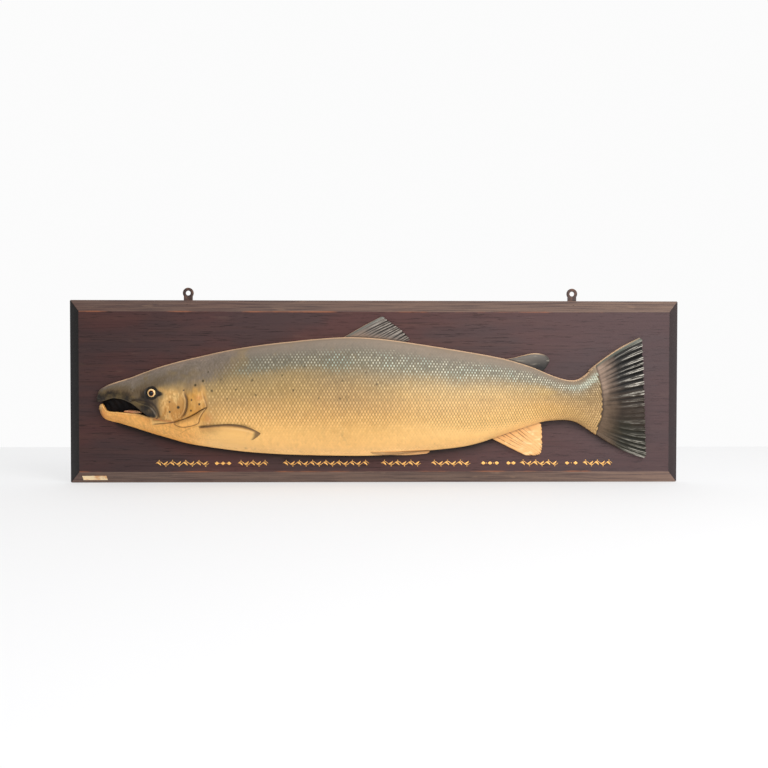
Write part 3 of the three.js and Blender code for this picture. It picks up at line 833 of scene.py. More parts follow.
# %% Masks
def markings(x, z):
    """How much of each paint, painted light and shade among them, lies at a place on the fish."""
    across = level_at(x, z)
    over_lip, under_lip = -upper_lip.distance(x, z), lower_lip.distance(x, z)
    plate, cover, flap = maxilla.inside(x, z), gill_cover.inside(x, z), gill_flap.inside(x, z)
    crest = cheek_edge.distance(x, z)
    crest_run = ease(z, 5, -7) * ease(z, -55, -40)
    ring, radius = eye_socket(x, z)
    above = -dark_edge.distance(x, z)
    blend = np.interp(x, [-440, -425, -400, -385, -340, -260], [4, 9, 18, 20, 26, 44])
    dark = np.clip(above / blend * 0.5 + 0.5, 0, 1) * ease(x, -225, -320)
    dark = np.maximum(dark, ease(z, -23.4, -21.6) * ease(x, -530, -540))
    under, below = fin_crease.distance(x, z), back_at(x) - z
    on_fin = ease(x, -352, -346) * ease(x, -234, -240)
    strip = np.interp(x, [-550, -527, -507, -487, -447, -412, -330], [16, 20, 29.5, 45, 53, 60, 70])
    deepest = np.interp(x, [-450, -428, -412, -380, -348], [1.0, 0.5, 0.38, 0.33, 0.24])
    plate_shade = 0.30 * ease(plate, -1, 2) + 0.3 * ease(x, -545, -557)
    faint = 0.40 * bell(to_point(x, z, (-474, -8), (1, 1.3)), 9)
    faint += 0.36 * bell(to_point(x, z, (-447, -37)), 8.5)
    faint += 0.20 * bell(to_point(x, z, (-482, 11), (1.5, 1)), 9)
    on_gill = gill_line.distance(x, z)
    jaw = np.maximum(ease(on_gill, 1, -3) * ease(z, -26, -34), ease(x, -440, -450)) * ease(x, -315, -385)
    # Dark lines: paint in the cuts, and painted shade behind the cheek's crest, in the gill flap under the
    # cover, along the breast fin's crease and on the jaw tip's front.
    lines = [
        0.95 * bell(under_eye.distance(x, z), 2.8) * ease(x, -492, -474),
        0.95 * bell(plate + 1.3, 1.1) * ease(over_lip, 0.8, 3.0),
        np.maximum(bell(crest + 2.0, 2.3), 0.32 * bell(crest + 1.0, 6.0)) * crest_run,
        0.60 * bell(cover + 1.0, 1.0) * ease(x, -346, -340) * ease(z, 4, -14),
        1.00 * bell(on_gill, 1.15) * ease(x, -446, -436),
        0.85 * bell(flap + 0.9, 0.9),
        0.35 * bell(throat_fold.distance(x, z), 0.9),
        0.22 * bell(front_fold.distance(x, z), 0.9),
        0.50 * ease(flap, -0.5, 1.0) * ease(on_gill, -10, -1),
        0.95 * bell(under + 0.9, 1.5) * on_fin,
        0.60 * ease(x, -543, -554) * ease(z, -20, -24),
    ]
    # Light lines along the lips, maxilla, cheek crest, gill cover and flap, and a light spot on the jaw tip:
    # partly paint, partly painted highlight.
    edges = [
        0.22 * bell(over_lip - 1.0, 0.8) * ease(x, -468, -482) * ease(x, -552, -540),
        0.34 * bell(plate - 0.8, 0.5) * ease(over_lip, 0.8, 3.0),
        0.30 * bell(crest - 1.2, 0.9) * crest_run,
        0.12 * bell(cover - 0.9, 0.7) * ease(x, -350, -342) * ease(z, 4, -12),
        0.55 * bell(flap - 1.0, 0.7) * ease(x, -352, -344),
        0.75 * bell(to_point(x, z, (-549.5, -29), (1, 0.6)), 3.6),
        0.30 * bell(under_lip - 1.2, 0.9) * ease(x, -446, -460),
    ]
    blush = [
        0.9 * bell(jaw_line.distance(x, z), 1.3) * ease(x, -442, -436),
        0.6 * bell(to_point(x, z, (-347, -10), (1, 1.4)), 6),
        0.85 * bell(to_point(x, z, (-549, -48), (1, 0.6)), 9),
        0.45 * bell(to_point(x, z, (-329, -52), (1.3, 1)), 9),
        0.2 * ease(across, -0.96, -1.0),
    ]
    return {
        "across": across,
        "dark": dark,
        "gold": ease(x, -318, -350) * (1 - dark) * ease(z, -62, -52) * ease(x, -452, -436) * (1 - jaw),
        "jaw": jaw * (1 - dark),
        "low": ease(z, 12, -44),
        "deep": np.minimum(below / strip, deepest) + plate_shade - faint,
        "line": np.max(lines, axis=0),
        "edge": np.max(edges, axis=0),
        "blush": np.max(blush, axis=0),
        "spot": spotted(x, z),
        "socket": np.clip(1.45 - ring, 0, 1) * (radius > EYE_RADIUS - 2),
        # The buff line along the top edge: partly lighter paint and partly a painted highlight where the edge
        # faces the light from above.
        "rim": ease(below, 4.4, 1.4) * ease(x, -556, -520),
    }


skin_x, skin_height, skin_z = front_view(skin)
store(skin, markings(skin_x, skin_z))
base_height = flank_height(skin_x, skin_z) + carving(skin_x, skin_z)
in_mouth = np.minimum(-Outline(mouth_outline()[::3]).inside(skin_x, skin_z), 3.0) < 0.6
PLAIN = {"pad": 0.0, "shade": 0.5, "pore": 0.0}  # what only scales have
store(skin, PLAIN | {"hollow": in_mouth * ease(base_height - skin_height, 0.5, 8.0)})
print("spots:", len(SPOTS), "in the mouth:", int(in_mouth.sum()), "points")

# %% [markdown]
# ## The fish's paint
# One finish serves the skin and the scales. A ramp across the fish lays the ground colours from belly to
# back, then each mask mixes its pot over that ground. Noise wobbles the ground and breaks the spots, as
# brushwork does. On a scale, `pad` runs from 0 at its edge to 1 at its middle: it darkens the edges a little,
# partly as painted shade between the scales, and in one band of the upper flank it sets light dabs on the
# crests, partly paint and partly painted highlight. The undersides of the jaw and the belly are painted
# lighter, as painted light from the floor below.

# %% The painter's pots
GROUND = [  # place from belly to back, and the paint there
    (0.00, (238, 190, 124)), (0.10, (231, 182, 112)), (0.22, (212, 166, 99)), (0.33, (206, 160, 96)),
    (0.46, (185, 146, 92)), (0.58, (163, 134, 90)), (0.69, (142, 125, 97)), (0.78, (122, 117, 100)),
    (0.86, (119, 113, 100)), (0.94, (135, 121, 106)), (1.00, (148, 131, 113)),
]
DARK_HEAD = [  # how deep the dark lies, and its paint
    (0.00, (148, 129, 113)), (0.15, (124, 110, 98)), (0.30, (109, 97, 84)), (0.50, (98, 84, 66)),
    (0.70, (88, 72, 52)), (0.85, (60, 48, 35)), (1.00, (32, 26, 21)),
]
CREAM, GREY_LIGHT, RIM_BUFF_AND_HIGHLIGHT = pots((244, 208, 146), (142, 126, 92), (232, 192, 152))
CUT_BROWN_AND_SHADE, SPOT_OLIVE, SOCKET_BLACK, MOUTH_BLACK = pots(
    (42, 32, 26), (58, 50, 34), (22, 19, 18), (16, 12, 10))
BLUSH, OLIVE_GOLD, OCHRE = pots((196, 116, 62), (146, 122, 76), (124, 102, 62))
FLANK_OCHRE, TAIL_BROWN, PATCH_GOLD, PATCH_RUSSET = pots(
    (172, 140, 82), (126, 102, 70), (206, 166, 92), (150, 118, 88))
CHEEK_HIGH, CHEEK_LOW, CHEEK_LIGHT, COVER_GOLD = pots(
    (196, 152, 92), (172, 118, 54), (232, 190, 124), (192, 136, 58))
JAW_GOLD, JAW_RUST = pots((224, 162, 84), (200, 130, 62))
DAB_AND_HIGHLIGHT, DAB_TEAL_AND_SHEEN, GAP_OLIVE_AND_SHADE = pots((214, 208, 184), (188, 204, 188), (94, 76, 44))


# %% Ground of the flank
def flank_ground(finish, x, level):
    """From the cream belly to the grey back, with the changes of tone along the fish."""
    along_tail = x.ramp(0.31, 0.45) * (0.62 - 0.20 * level.ramp(0.7, 0.85))
    ground = finish.mix(finish.graded(GROUND, level), TAIL_BROWN, along_tail)
    ground = finish.scaled(ground, 1 - 0.18 * level.ramp(0.68, 0.82) * x.ramp(0.10, -0.34))
    tawny_flank = level.between(0.48, 0.60, 0.70, 0.80) * x.ramp(0.0, -0.20)
    ground = finish.mix(ground, FLANK_OCHRE, tawny_flank * 0.42)
    front_low = x.between(-0.34, -0.27, -0.25, -0.08) * level.between(0.08, 0.20, 0.34, 0.48)
    rear_mid = x.between(-0.05, 0.15, 0.20, 0.30) * level.between(0.36, 0.50, 0.70, 0.80)
    behind_gill = x.between(-0.352, -0.340, -0.328, -0.300) * level.between(0.10, 0.20, 0.44, 0.60)
    ground = finish.scaled(ground, 1 + 0.14 * front_low + 0.20 * rear_mid - 0.24 * behind_gill)
    rear_low = x.between(-0.05, 0.15, 0.26, 0.36) * level.between(0.05, 0.15, 0.60, 0.70)
    drawn = finish.noise(11, 3, (0.35, 1, 1))
    patched = level.between(0.30, 0.45, 0.62, 0.76)
    return finish.layers(
        ground, (CREAM, rear_low * 0.2), (PATCH_GOLD, drawn.ramp(0.52, 0.66) * patched * 0.34),
        (PATCH_RUSSET, drawn.ramp(0.48, 0.34) * patched * 0.14))


# %% Paints of the head
def head_paints(finish, x, brushed, dabbled):
    """The dark of the snout and crown, the gold of the cheek and gill cover, and the jaw's own gold."""
    deep = finish.mask("deep") + (brushed - 0.5) * 0.25 + (finish.noise(300, 2, (1, 1, 0.3)) - 0.5) * 0.40
    tawny = finish.noise(34, 3).ramp(0.5, 0.72) * 0.45 * x.ramp(-0.31, -0.38)
    head = finish.mix(finish.graded(DARK_HEAD, deep), OCHRE, tawny)
    low = finish.mask("low")
    cheek = finish.layers(
        finish.mix(CHEEK_HIGH, CHEEK_LOW, low + (dabbled - 0.5) * 0.8),
        (OLIVE_GOLD, finish.noise(48, 3).ramp(0.48, 0.68) * 0.5),
        (CHEEK_LIGHT, dabbled.ramp(0.48, 0.62) * (0.85 - 0.5 * low)))
    cheek = finish.scaled(cheek, 0.74 + 0.26 * x.ramp(-0.436, -0.408) + (dabbled - 0.5) * 0.3)
    cheek = finish.mix(cheek, COVER_GOLD, x.ramp(-0.385, -0.362) * (0.30 + 0.6 * brushed.ramp(0.35, 0.65)))
    jaw = finish.mix(JAW_GOLD, JAW_RUST, finish.noise(50, 3, (0.6, 1, 1)).ramp(0.46, 0.66) * 0.42)
    return head, cheek, finish.scaled(jaw, 0.84 + 0.26 * finish.noise(190, 3, (1, 1, 0.3)).ramp(0.32, 0.68))


# %% Coats on the scales
def scale_coats(finish, x, level, shade, scaled):
    """Scales: edges darkened by olive paint and painted shade; crest dabs, paint and painted highlight,
    varying along and up the flank.
    """
    pad, patches = finish.mask("pad"), finish.noise(14, 2)
    on_scale, dab_and_highlight = pad.ramp(0.0, 0.42), pad.ramp(0.52, 1.0) * shade.ramp(0.1, 0.75)
    to_tail = x.ramp(0.02, 0.40)
    mid = (level + 0.22 * to_tail).ramp(0.22, 0.34) * level.ramp(0.92, 0.84) * scaled
    # Darker scale edges: partly olive paint and partly painted shade between the scales.
    gap = (1 - on_scale) * mid * (0.64 + 0.45 * patches + 0.24 * to_tail) * x.ramp(-0.60, -0.10)
    sheen = x.ramp(0.37, 0.44) * level.between(0.73, 0.80, 0.85, 0.93) * on_scale
    band = level.between(0.68, 0.79, 0.83, 0.92) * x.ramp(-0.33, -0.19)
    band = band * (0.35 + 0.65 * patches.ramp(0.3, 0.5))
    spread = level.between(0.50, 0.70, 0.82, 0.92) * x.ramp(-0.12, 0.12) * 0.55
    # Light dabs on the crests: partly paint and partly painted highlight.
    bright = dab_and_highlight * (band + spread) * (1 - x.ramp(0.40, 0.47) * 0.5)
    warm = dab_and_highlight * level.between(0.05, 0.30, 0.60, 0.74) * (0.30 + 0.30 * patches)
    pore = finish.mask("pore") * pad.ramp(0.5, 0.9) * shade.ramp(0.35, 0.8)
    dab_color = finish.mix(DAB_AND_HIGHLIGHT, DAB_TEAL_AND_SHEEN, finish.noise(17, 2).ramp(0.5, 0.66))
    return [
        (GAP_OLIVE_AND_SHADE, gap), (DAB_TEAL_AND_SHEEN, sheen * 0.40), (dab_color, bright * 0.88), (CREAM, warm),
        (SPOT_OLIVE, pore * 0.6),
    ]


# %% The flesh's finish
def flesh_paint(name):
    """The painter's pots, one over another, with painted light and shade among them."""
    finish = Finish(name, Coat_Weight=0.06, Coat_Roughness=0.25, Specular_IOR_Level=0.24)
    x = finish.axis("X")
    broad, fine = finish.noise(9, 3), finish.noise(160, 3, (1, 1, 1.6))
    brushed, dabbled = finish.noise(55, 3, (1, 1, 0.35)), finish.noise(95, 4, (1, 1, 0.5), 0.7)
    level = finish.mask("across") * 0.5 + 0.5 + (broad - 0.5) * 0.10 + (fine - 0.5) * 0.06
    shade, scaled = finish.mask("shade"), x.ramp(-0.328, -0.304)
    head, cheek, jaw = head_paints(finish, x, brushed, dabbled)
    dark = (finish.mask("dark") + (brushed - 0.5) * 0.8 + (dabbled - 0.5) * 0.5).ramp(0.06, 0.94)
    socket = (finish.mask("socket") + (brushed - 0.5) * 0.7 + (fine - 0.5) * 0.3).ramp(0.12, 0.62)
    color = finish.layers(
        flank_ground(finish, x, level),
        (jaw, finish.mask("jaw") * 0.85),
        (cheek, finish.mask("gold").ramp(0.1, 0.8) * 0.92),
        (OLIVE_GOLD, dark * (1 - dark) * 2.6 * x.ramp(-0.445, -0.425)),
        (head, dark),
        *scale_coats(finish, x, level, shade, scaled),
        (BLUSH, finish.mask("blush") * 0.7),
        # Light lines on the ridges, partly paint and partly painted highlight; dark lines in the cuts, partly
        # paint and partly painted shade.
        (finish.mix(CREAM, GREY_LIGHT, finish.mask("dark")), finish.mask("edge") * 0.8),
        (CUT_BROWN_AND_SHADE, finish.mask("line") * 0.88),
        (SOCKET_BLACK, socket * 0.94),
        (SPOT_OLIVE, finish.mask("spot") * (0.8 + 0.4 * fine) * (1 - 0.3 * scaled)),
        # The buff top edge: partly lighter paint and partly a painted highlight.
        (RIM_BUFF_AND_HIGHLIGHT, finish.mask("rim") * (0.82 + 0.18 * finish.noise(60, 2).ramp(0.3, 0.6))),
        (MOUTH_BLACK, finish.mask("hollow").ramp(0.1, 0.5)))
    strokes, sweeps = finish.noise(420, 2, (0.35, 1, 1)), finish.noise(120, 3, (0.18, 1, 1))
    hatched = (finish.noise(380, 2, (1, 1, 0.25)).ramp(0.3, 0.7) - 0.5) * 0.16 * x.ramp(-0.28, -0.36)
    # Painted light: the undersides of the jaw and the belly are painted lighter, as if lit from the floor
    # below.
    painted_light_under_jaw = level.ramp(0.10, 0.0) * x.ramp(-0.30, -0.44)
    painted_light_under_belly = level.ramp(0.06, 0.0) * x.between(-0.40, -0.26, 0.10, 0.25)
    light = 0.925 + 0.12 * shade + 0.14 * sweeps + 0.50 * painted_light_under_jaw + 0.32 * painted_light_under_belly + hatched
    return finish.done(
        finish.scaled(color, light), 0.36 + 0.14 * strokes, strokes + 0.6 * fine, 0.00025)


flesh = flesh_paint("painted_flesh")
FLESH_NODES = [
    "head", "maxilla", "cheek", "gill_cover", "gill_membrane", "throat", "lower_jaw",
    "trunk_front", "trunk_middle", "trunk_rear", "tail_wrist",
]
finished(skin, flesh, FLESH_NODES, 50)

# %% [markdown]
# ## The coat of scales
# The carver cut the flank into a lattice: rows run along the fish 5 to 6 mm apart, and each scale sits half a
# scale behind the one above it. The scales are about 7 mm long behind the head and 5 mm at the tail.
# One scale is a low closed shield, sunk at its front and proud at its round rear edge, so that each one
# seems to slip under the one before. Thousands of them are placed by rule on the skin and joined into three
# meshes. Every scale is also a tiny patch on an unwrap of the flank, for baking.

# %% One scale
LATERAL_LINE = -14.0  # z of the row that the others are counted from
ROW_SPACING = [(-360, 5.9), (100, 5.6), (300, 5.2), (400, 4.7), (462, 5.2)]
SCALE_PITCH = [(-340, 7.0), (-150, 6.4), (100, 6.3), (230, 5.7), (380, 5.0), (462, 4.8)]
SHIELD = [  # half outline from the tucked front point round to the rear point: along, across, height
    (-0.66, 0.00, -0.25), (-0.46, 0.42, -0.20), (-0.20, 0.80, -0.05), (0.06, 1.00, 0.30),
    (0.28, 0.72, 0.52), (0.46, 0.36, 0.62), (0.54, 0.00, 0.66),
]
CREST = (0.06, 0.0, 0.86)
UNDERSIDE = -0.45  # sunk into the skin
COAT_START = -372.0  # x of the first column
SHALLOWEST = 0.12  # share of the full relief under which a scale is left out
SIZE_SPREAD, SHADE_SPREAD = 0.03, 0.22
ARC_STEPS = 240
PATCH, PATCH_MARGIN = 0.003, 10
rng = np.random.default_rng(1913)


def scale_shape():
    """One scale: its points, its faces, and how near each point is to the middle."""
    outline = SHIELD + [(a, -b, h) for a, b, h in SHIELD[-2:0:-1]]
    count = len(outline)
    top = CREST[2]
    inner = [(CREST[0] + (a - CREST[0]) * 0.55, b * 0.55, top + (h - top) * 0.32) for a, b, h in outline]
    under = [(a * 0.98, b * 0.98, UNDERSIDE) for a, b, _ in outline]
    points = [*outline, *inner, CREST, *under, (0, 0, UNDERSIDE)]
    crest, foot, centre = 2 * count, 2 * count + 1, 3 * count + 1
    faces = []
    for i in range(count):
        j = (i + 1) % count
        faces.append((i, j, count + j, count + i))
        faces.append((count + i, count + j, crest))
        faces.append((j, i, foot + i, foot + j))
        faces.append((foot + j, foot + i, centre))
    pad = [0.0] * count + [0.55] * count + [1.0] + [0.0] * (count + 1)
    return np.array(points, float), faces, np.array(pad)


# %% Where the scales sit
def section_arc(x):
    """How far up the section each turn lies, in millimetres from the lateral line."""
    turns = np.linspace(0, 1, ARC_STEPS)
    section = body_point(np.full(ARC_STEPS, x), turns)
    arc = np.r_[0, np.cumsum(np.linalg.norm(np.diff(section, axis=0), axis=1))]
    return turns, arc - np.interp(LATERAL_LINE, section[:, 2], arc)


def scale_roots():
    """Where every scale sits: x, turn, arc, pitch and row spacing."""
    roots = []
    x, column = COAT_START, 0
    while x < TAIL_END:
        pitch = float(np.interp(x, *zip(*SCALE_PITCH)))
        spacing = float(np.interp(x, *zip(*ROW_SPACING)))
        turns, arc = section_arc(x)
        first, last = math.ceil(arc[0] / spacing), math.floor(arc[-1] / spacing)
        for row in range(first, last + 1):
            if (row + column) % 2 == 0:
                roots.append((x, np.interp(row * spacing, arc, turns), row * spacing, pitch, spacing))
        x += pitch / 2
        column += 1
    return np.array(roots)


# %% Every scale with its masks
def beside_fin(x, z):
    """A soft brown shadow along the upper edge of the breast fin."""
    gap = np.abs(fin_crease.distance(x.ravel(), z.ravel()).reshape(x.shape))
    return 0.55 * bell(gap, 4.0) * ease(x, -350, -338) * ease(x, -232, -262)


def lay_scales():
    """Every scale in place, with its masks, its root and its shape."""
    roots = scale_roots()
    base = body_point(roots[:, 0], roots[:, 1])
    relief = scaled_share(roots[:, 0], base[:, 2])
    keep = (relief > SHALLOWEST) & (roots[:, 0] < tail_end_at(base[:, 2]) - 2.0)
    roots, base, relief = roots[keep], base[keep], relief[keep]
    x, turn, arc, pitch, spacing = roots.T
    z = base[:, 2]
    out = facing_out(x, turn)
    along = body_point(x + 1.0, turn) - body_point(x - 1.0, turn)
    along -= np.sum(along * out, 1)[:, None] * out
    along /= np.linalg.norm(along, axis=1)[:, None]
    up = np.cross(out, along)
    up *= np.sign(np.sum(up * (body_point(x, np.clip(turn + 0.004, 0, 1)) - base), 1))[:, None] + 1e-9
    shape, faces, pad = scale_shape()
    size = np.stack([pitch, spacing, relief], 1) * (1 + rng.normal(0, SIZE_SPREAD, (len(x), 3)))
    local = shape[None] * size[:, None]
    points = (base + out * carving(x, z)[:, None])[:, None]
    for side, axis in enumerate((along, up, out)):
        points = points + axis[:, None] * local[..., side : side + 1]
    masks = markings(x, z)
    masks["shade"] = np.clip(rng.normal(0.5, SHADE_SPREAD, len(x)), 0, 1)
    masks["hollow"] = np.zeros(len(x))
    masks["pore"] = np.isclose(arc, 0) * ease(x, -260, -200)
    masks["line"] *= ease(x, -318, -328)
    masks = {name: np.repeat(values[:, None], len(shape), 1) for name, values in masks.items()}
    masks["spot"] = spotted(points[..., 0], points[..., 2])
    masks["line"] = np.maximum(masks["line"], beside_fin(points[..., 0], points[..., 2]))
    return {"points": points, "faces": faces, "pad": pad, "masks": masks, "roots": roots, "shape": shape}


# %% Join the scales
def scale_piece(name, chosen, coat):
    """Joins the chosen scales into one mesh with their masks and their baking patches."""
    picked, places = coat["points"][chosen], coat["roots"][chosen][:, [0, 2]]
    count, corners = picked.shape[:2]
    mesh = bpy.data.meshes.new(name)
    all_faces = [tuple(i + corners * n for i in face) for n in range(count) for face in coat["faces"]]
    mesh.from_pydata(in_scene(picked.reshape(-1, 3)), [], all_faces)
    piece = bpy.data.objects.new(name, mesh)
    bpy.context.collection.objects.link(piece)
    store(piece, {mask: values[chosen].ravel() for mask, values in coat["masks"].items()})
    store(piece, {"pad": np.tile(coat["pad"], count)})
    span = np.ptp(places, axis=0).max() + 2 * PATCH_MARGIN
    origin = (places - places.min(0) + PATCH_MARGIN) / span
    uv = (origin[:, None] + coat["shape"][None, :, :2] * PATCH / 2).reshape(-1, 2)
    layer = mesh.uv_layers.new(name="OFBake")
    loop_point = np.empty(len(mesh.loops), int)
    mesh.loops.foreach_get("vertex_index", loop_point)
    layer.data.foreach_set("uv", uv[loop_point].astype(np.float32).ravel())
    return piece


coat = lay_scales()
root_x = coat["roots"][:, 0]
COAT_BREAKS = [-400, -110, 165, 500]
for number, (low, high) in enumerate(zip(COAT_BREAKS[:-1], COAT_BREAKS[1:]), 1):
    joined = scale_piece(f"scales_{number}", (root_x >= low) & (root_x < high), coat)
    finished(joined, flesh, (), 60)
print("scales:", len(root_x))

# %% [markdown]
# ## The fins
# A carved fin is a thin slab with its rays left standing. Each ray runs from the root to the free edge, and
# forks on its way out, as a salmon's soft rays do. The back fin, the vent fin and the tail lie flat on the
# board. The breast and belly fins are laid against the flank. Between two rays the free edge is nicked back
# a little. The small fat fin has no rays: it is a smooth lobe.

# %% Outlines of the fins
TAIL_RAYS = 20
FINS = {
    "dorsal_fin": {
        "root": [(-75, 104), (-14, 102), (49, 96.5)],
        "edge": [(13, 153.7), (34, 139), (52, 126), (71, 107)], "border": (0.15, 0.0),
        "bow": (1.5, 0), "rays": 13, "nick": 3.4, "round": 0.5, "deep": 2.2, "rows": 44,
    },
    "anal_fin": {
        "root": [(231, -92), (280, -73), (326, -58)],
        "edge": [(306, -129.5), (331, -128.5), (338.5, -119), (339.5, -93), (338, -66)],
        "border": (0.05, 0.0),
        "bow": (-0.5, 0), "rays": 12, "nick": 1.8, "round": 0.2, "deep": 0.55, "rows": 44,
    },
    "caudal_fin": {
        "root": [(434, 44), (447, 5), (448, -48), (434, -75)],
        "edge": [(543, 113), (547, 60), (549.5, -12), (551.5, -75), (554, -136.5)],
        "border": (0.085, 0.05),
        "bow": (6, -8), "rays": TAIL_RAYS, "nick": 2.6, "round": 1.2, "deep": 3.6, "rows": 72,
    },
    "pectoral_fin": {
        "root": [(-352, -67.4), (-349, -93)],
        "edge": [(-226.5, -80), (-232, -87), (-242, -94)], "border": (0.16, 0.1),
        "bow": (13, -4), "late": 1.35, "rays": 8, "nick": 0.0, "round": 0.0, "deep": 0.16, "rows": 70,
    },
    "pelvic_fin": {
        "root": [(-12, -119), (-6, -124)],
        "edge": [(107, -117.5), (109, -121.5), (103, -125)], "border": (0.1, 0.1),
        "bow": (-1, -4.2), "rays": 4, "nick": 0.5, "round": 0.0, "deep": 0.4, "rows": 60,
    },
}


# %% Rays
def ray_relief(spec, side, reach):
    """The cut across a fin: 1 on top of a ray, 0 in the groove between two, with forks towards the edge."""
    place = side * spec["rays"] + 0.20 * np.sin(20.7 * side + 0.7) + 0.09 * np.sin(49.6 * side)
    offset = place - np.round(place)
    ridge = 1 - np.abs(2 * offset) ** 1.5
    fork = 0.4 * bell(offset, 0.08) * ease(reach, 0.55, 0.8)
    first, last = spec["border"]
    plain = np.maximum(ease(side, first, first * 0.6), ease(side, 1 - last, 1 - last * 0.6))
    return np.clip(ridge - fork, 0, 1) * (1 - plain) + 0.9 * plain


def lobes(spec, side):
    """How boldly the rays stand: on the tail most in the upper lobe, and least below its middle."""
    uneven = 1 + 0.16 * np.sin(61 * side) * np.sin(23 * side + 1)
    if spec["rays"] < TAIL_RAYS:
        return uneven
    upper, middle, lower = bell(side - 0.25, 0.22), bell(side - 0.62, 0.12), bell(side - 0.97, 0.1)
    return (0.50 + 0.58 * upper - 0.18 * middle + 0.15 * lower) * uneven


# %% Carve a fin
def rayed_fin(name, height, back):
    """A fin from its entry in FINS; height(x, z, reach, side) is how far it stands off the board."""
    spec = FINS[name]
    root, edge = np.array(spec["root"], float), np.array(spec["edge"], float)

    def place(side, reach):
        start, tip = spline(root, side), spline(edge, side)
        length = np.linalg.norm(tip - start, axis=1)
        relief = ray_relief(spec, side, reach)
        nick = spec["nick"] * (1 - relief) + 5.0 * spec["round"] * (bell(side, 0.03) + bell(1 - side, 0.03))
        short = reach * (1 - nick * ease(reach, 0.7, 1.0) / np.maximum(length, 1))
        point = start + (tip - start) * short[:, None]
        bow = spec["bow"][0] + (spec["bow"][1] - spec["bow"][0]) * side
        along = short ** spec.get("late", 1.0)
        point[:, 1] += bow * 4 * along * (1 - along)
        root_width, edge_width = (np.linalg.norm(line[0] - line[-1]) for line in (root, edge))
        width = root_width * (1 - reach) + edge_width * reach
        rim = np.minimum((1 - reach) * length, np.minimum(side, 1 - side) * width)
        begins = 0.22 + 0.40 * bell(side - 0.60, 0.18) * (spec["rays"] >= TAIL_RAYS)
        cut = spec["deep"] * (0.12 + 0.88 * ease(reach, begins, 0.95)) * (relief - 1) * lobes(spec, side)
        up = height(point[:, 0], point[:, 1], reach, side) + cut - 2.2 * np.exp(-rim / 1.1)
        return np.stack([point[:, 0], up, point[:, 1]], -1)

    fin = carved_form(name, 12 * spec["rays"], spec["rows"], place, back)
    side, reach = stored(fin, "side"), stored(fin, "reach")
    x, _, z = front_view(fin)
    store(fin, {"ray": ray_relief(spec, side, reach), "bold": lobes(spec, side), "tuck": tucked(x, z)})
    return fin


def tucked(x, z):
    """Painted shadow where a fin comes out from under the body's outline: 1 there, fading within 2 mm."""
    above_or_below = np.maximum(z - back_at(x), belly_at(x) - z)
    outside = np.where(x < TAIL_ROOT, above_or_below, x - tail_end_at(z))
    return bell(np.clip(outside, 0, None), 2.0)


# %% How high each fin stands
def slab(root_depth, tip_depth):
    """Flat on the board, thinner towards its tip."""
    return lambda x, z, reach, side: root_depth + (tip_depth - root_depth) * reach


def tail_slab(x, z, reach, side):
    """The tail starts a little below the end of the scaled body and thins towards its edge."""
    body = np.clip(flank_height(np.minimum(x, 452), z) - 2.2, 8.5, 16)
    return body + (8.0 - body) * ease(reach, 0.0, 0.9)


def laid_on(root_proud, tip_proud):
    """Against the flank, more proud towards its tip."""
    return lambda x, z, reach, side: flank_height(x, z) + root_proud + (tip_proud - root_proud) * reach


def breast_fin(x, z, reach, side):
    """Proud of the flank along its upper edge and at its tip, and running out into it below."""
    proud = 1.7 * ease(side, 0.55, 0.0) + 1.3 * reach * ease(side, 1.05, 0.5)
    return flank_height(x, z) + proud * ease(reach, -0.03, 0.07) - 0.55


STANDS = {  # how high a fin stands, and where its back is
    "dorsal_fin": (slab(11, 6.5), 0), "anal_fin": (slab(12.5, 7.5), 0), "caudal_fin": (tail_slab, 0),
    "pectoral_fin": (breast_fin, 30), "pelvic_fin": (laid_on(1.0, 5.5), 2),
}
fins = {name: rayed_fin(name, *stand) for name, stand in STANDS.items()}
print({name: triangles(fin) for name, fin in fins.items()})

# %% The breast fin wears the belly's own paint
breast = fins["pectoral_fin"]
breast_x, _, breast_z = front_view(breast)
side, reach = stored(breast, "side"), stored(breast, "reach")
masks = markings(breast_x, breast_z)
# A painted shadow along the fin's upper edge, and a dark tip.
upper_edge_shadow = 0.95 * ease(side, 0.24, 0.08) * ease(reach, 0.0, 0.06)
tip = 0.85 * ease(reach + (0.5 - side) * 0.06, 0.90, 0.96)
masks["line"] = np.maximum(upper_edge_shadow, tip)
masks["edge"] = 0.50 * bell(side - 0.28, 0.04) * ease(reach, 0.3, 0.7)
masks["blush"] = 0.20 * ease(side, 0.5, 0.2)
store(breast, masks | PLAIN | {"hollow": 0.0})

# %% The fat fin
ADIPOSE_ROOT = np.array([(256, 59), (298, 48), (338, 35)], float)
ADIPOSE_EDGE = np.array([
    (262, 66), (284, 70.5), (303, 75.5), (324, 79), (344, 75.5), (353, 65), (346, 50), (334, 42),
], float)


def adipose_place(side, reach):
    """A lobe with a rounded rim."""
    start, tip = spline(ADIPOSE_ROOT, side), spline(ADIPOSE_EDGE, side)
    point = start + (tip - start) * reach[:, None]
    rim = np.minimum((1 - reach) * 30, np.minimum(side, 1 - side) * 80)
    height = 6.5 + 5.5 * np.sqrt(1 - (1 - np.clip(rim / 11, 0, 1)) ** 2)
    return np.stack([point[:, 0], height, point[:, 1]], -1)


fins["adipose_fin"] = carved_form("adipose_fin", 56, 30, adipose_place, 0)
store(fins["adipose_fin"], {"tuck": tucked(*front_view(fins["adipose_fin"])[::2])})
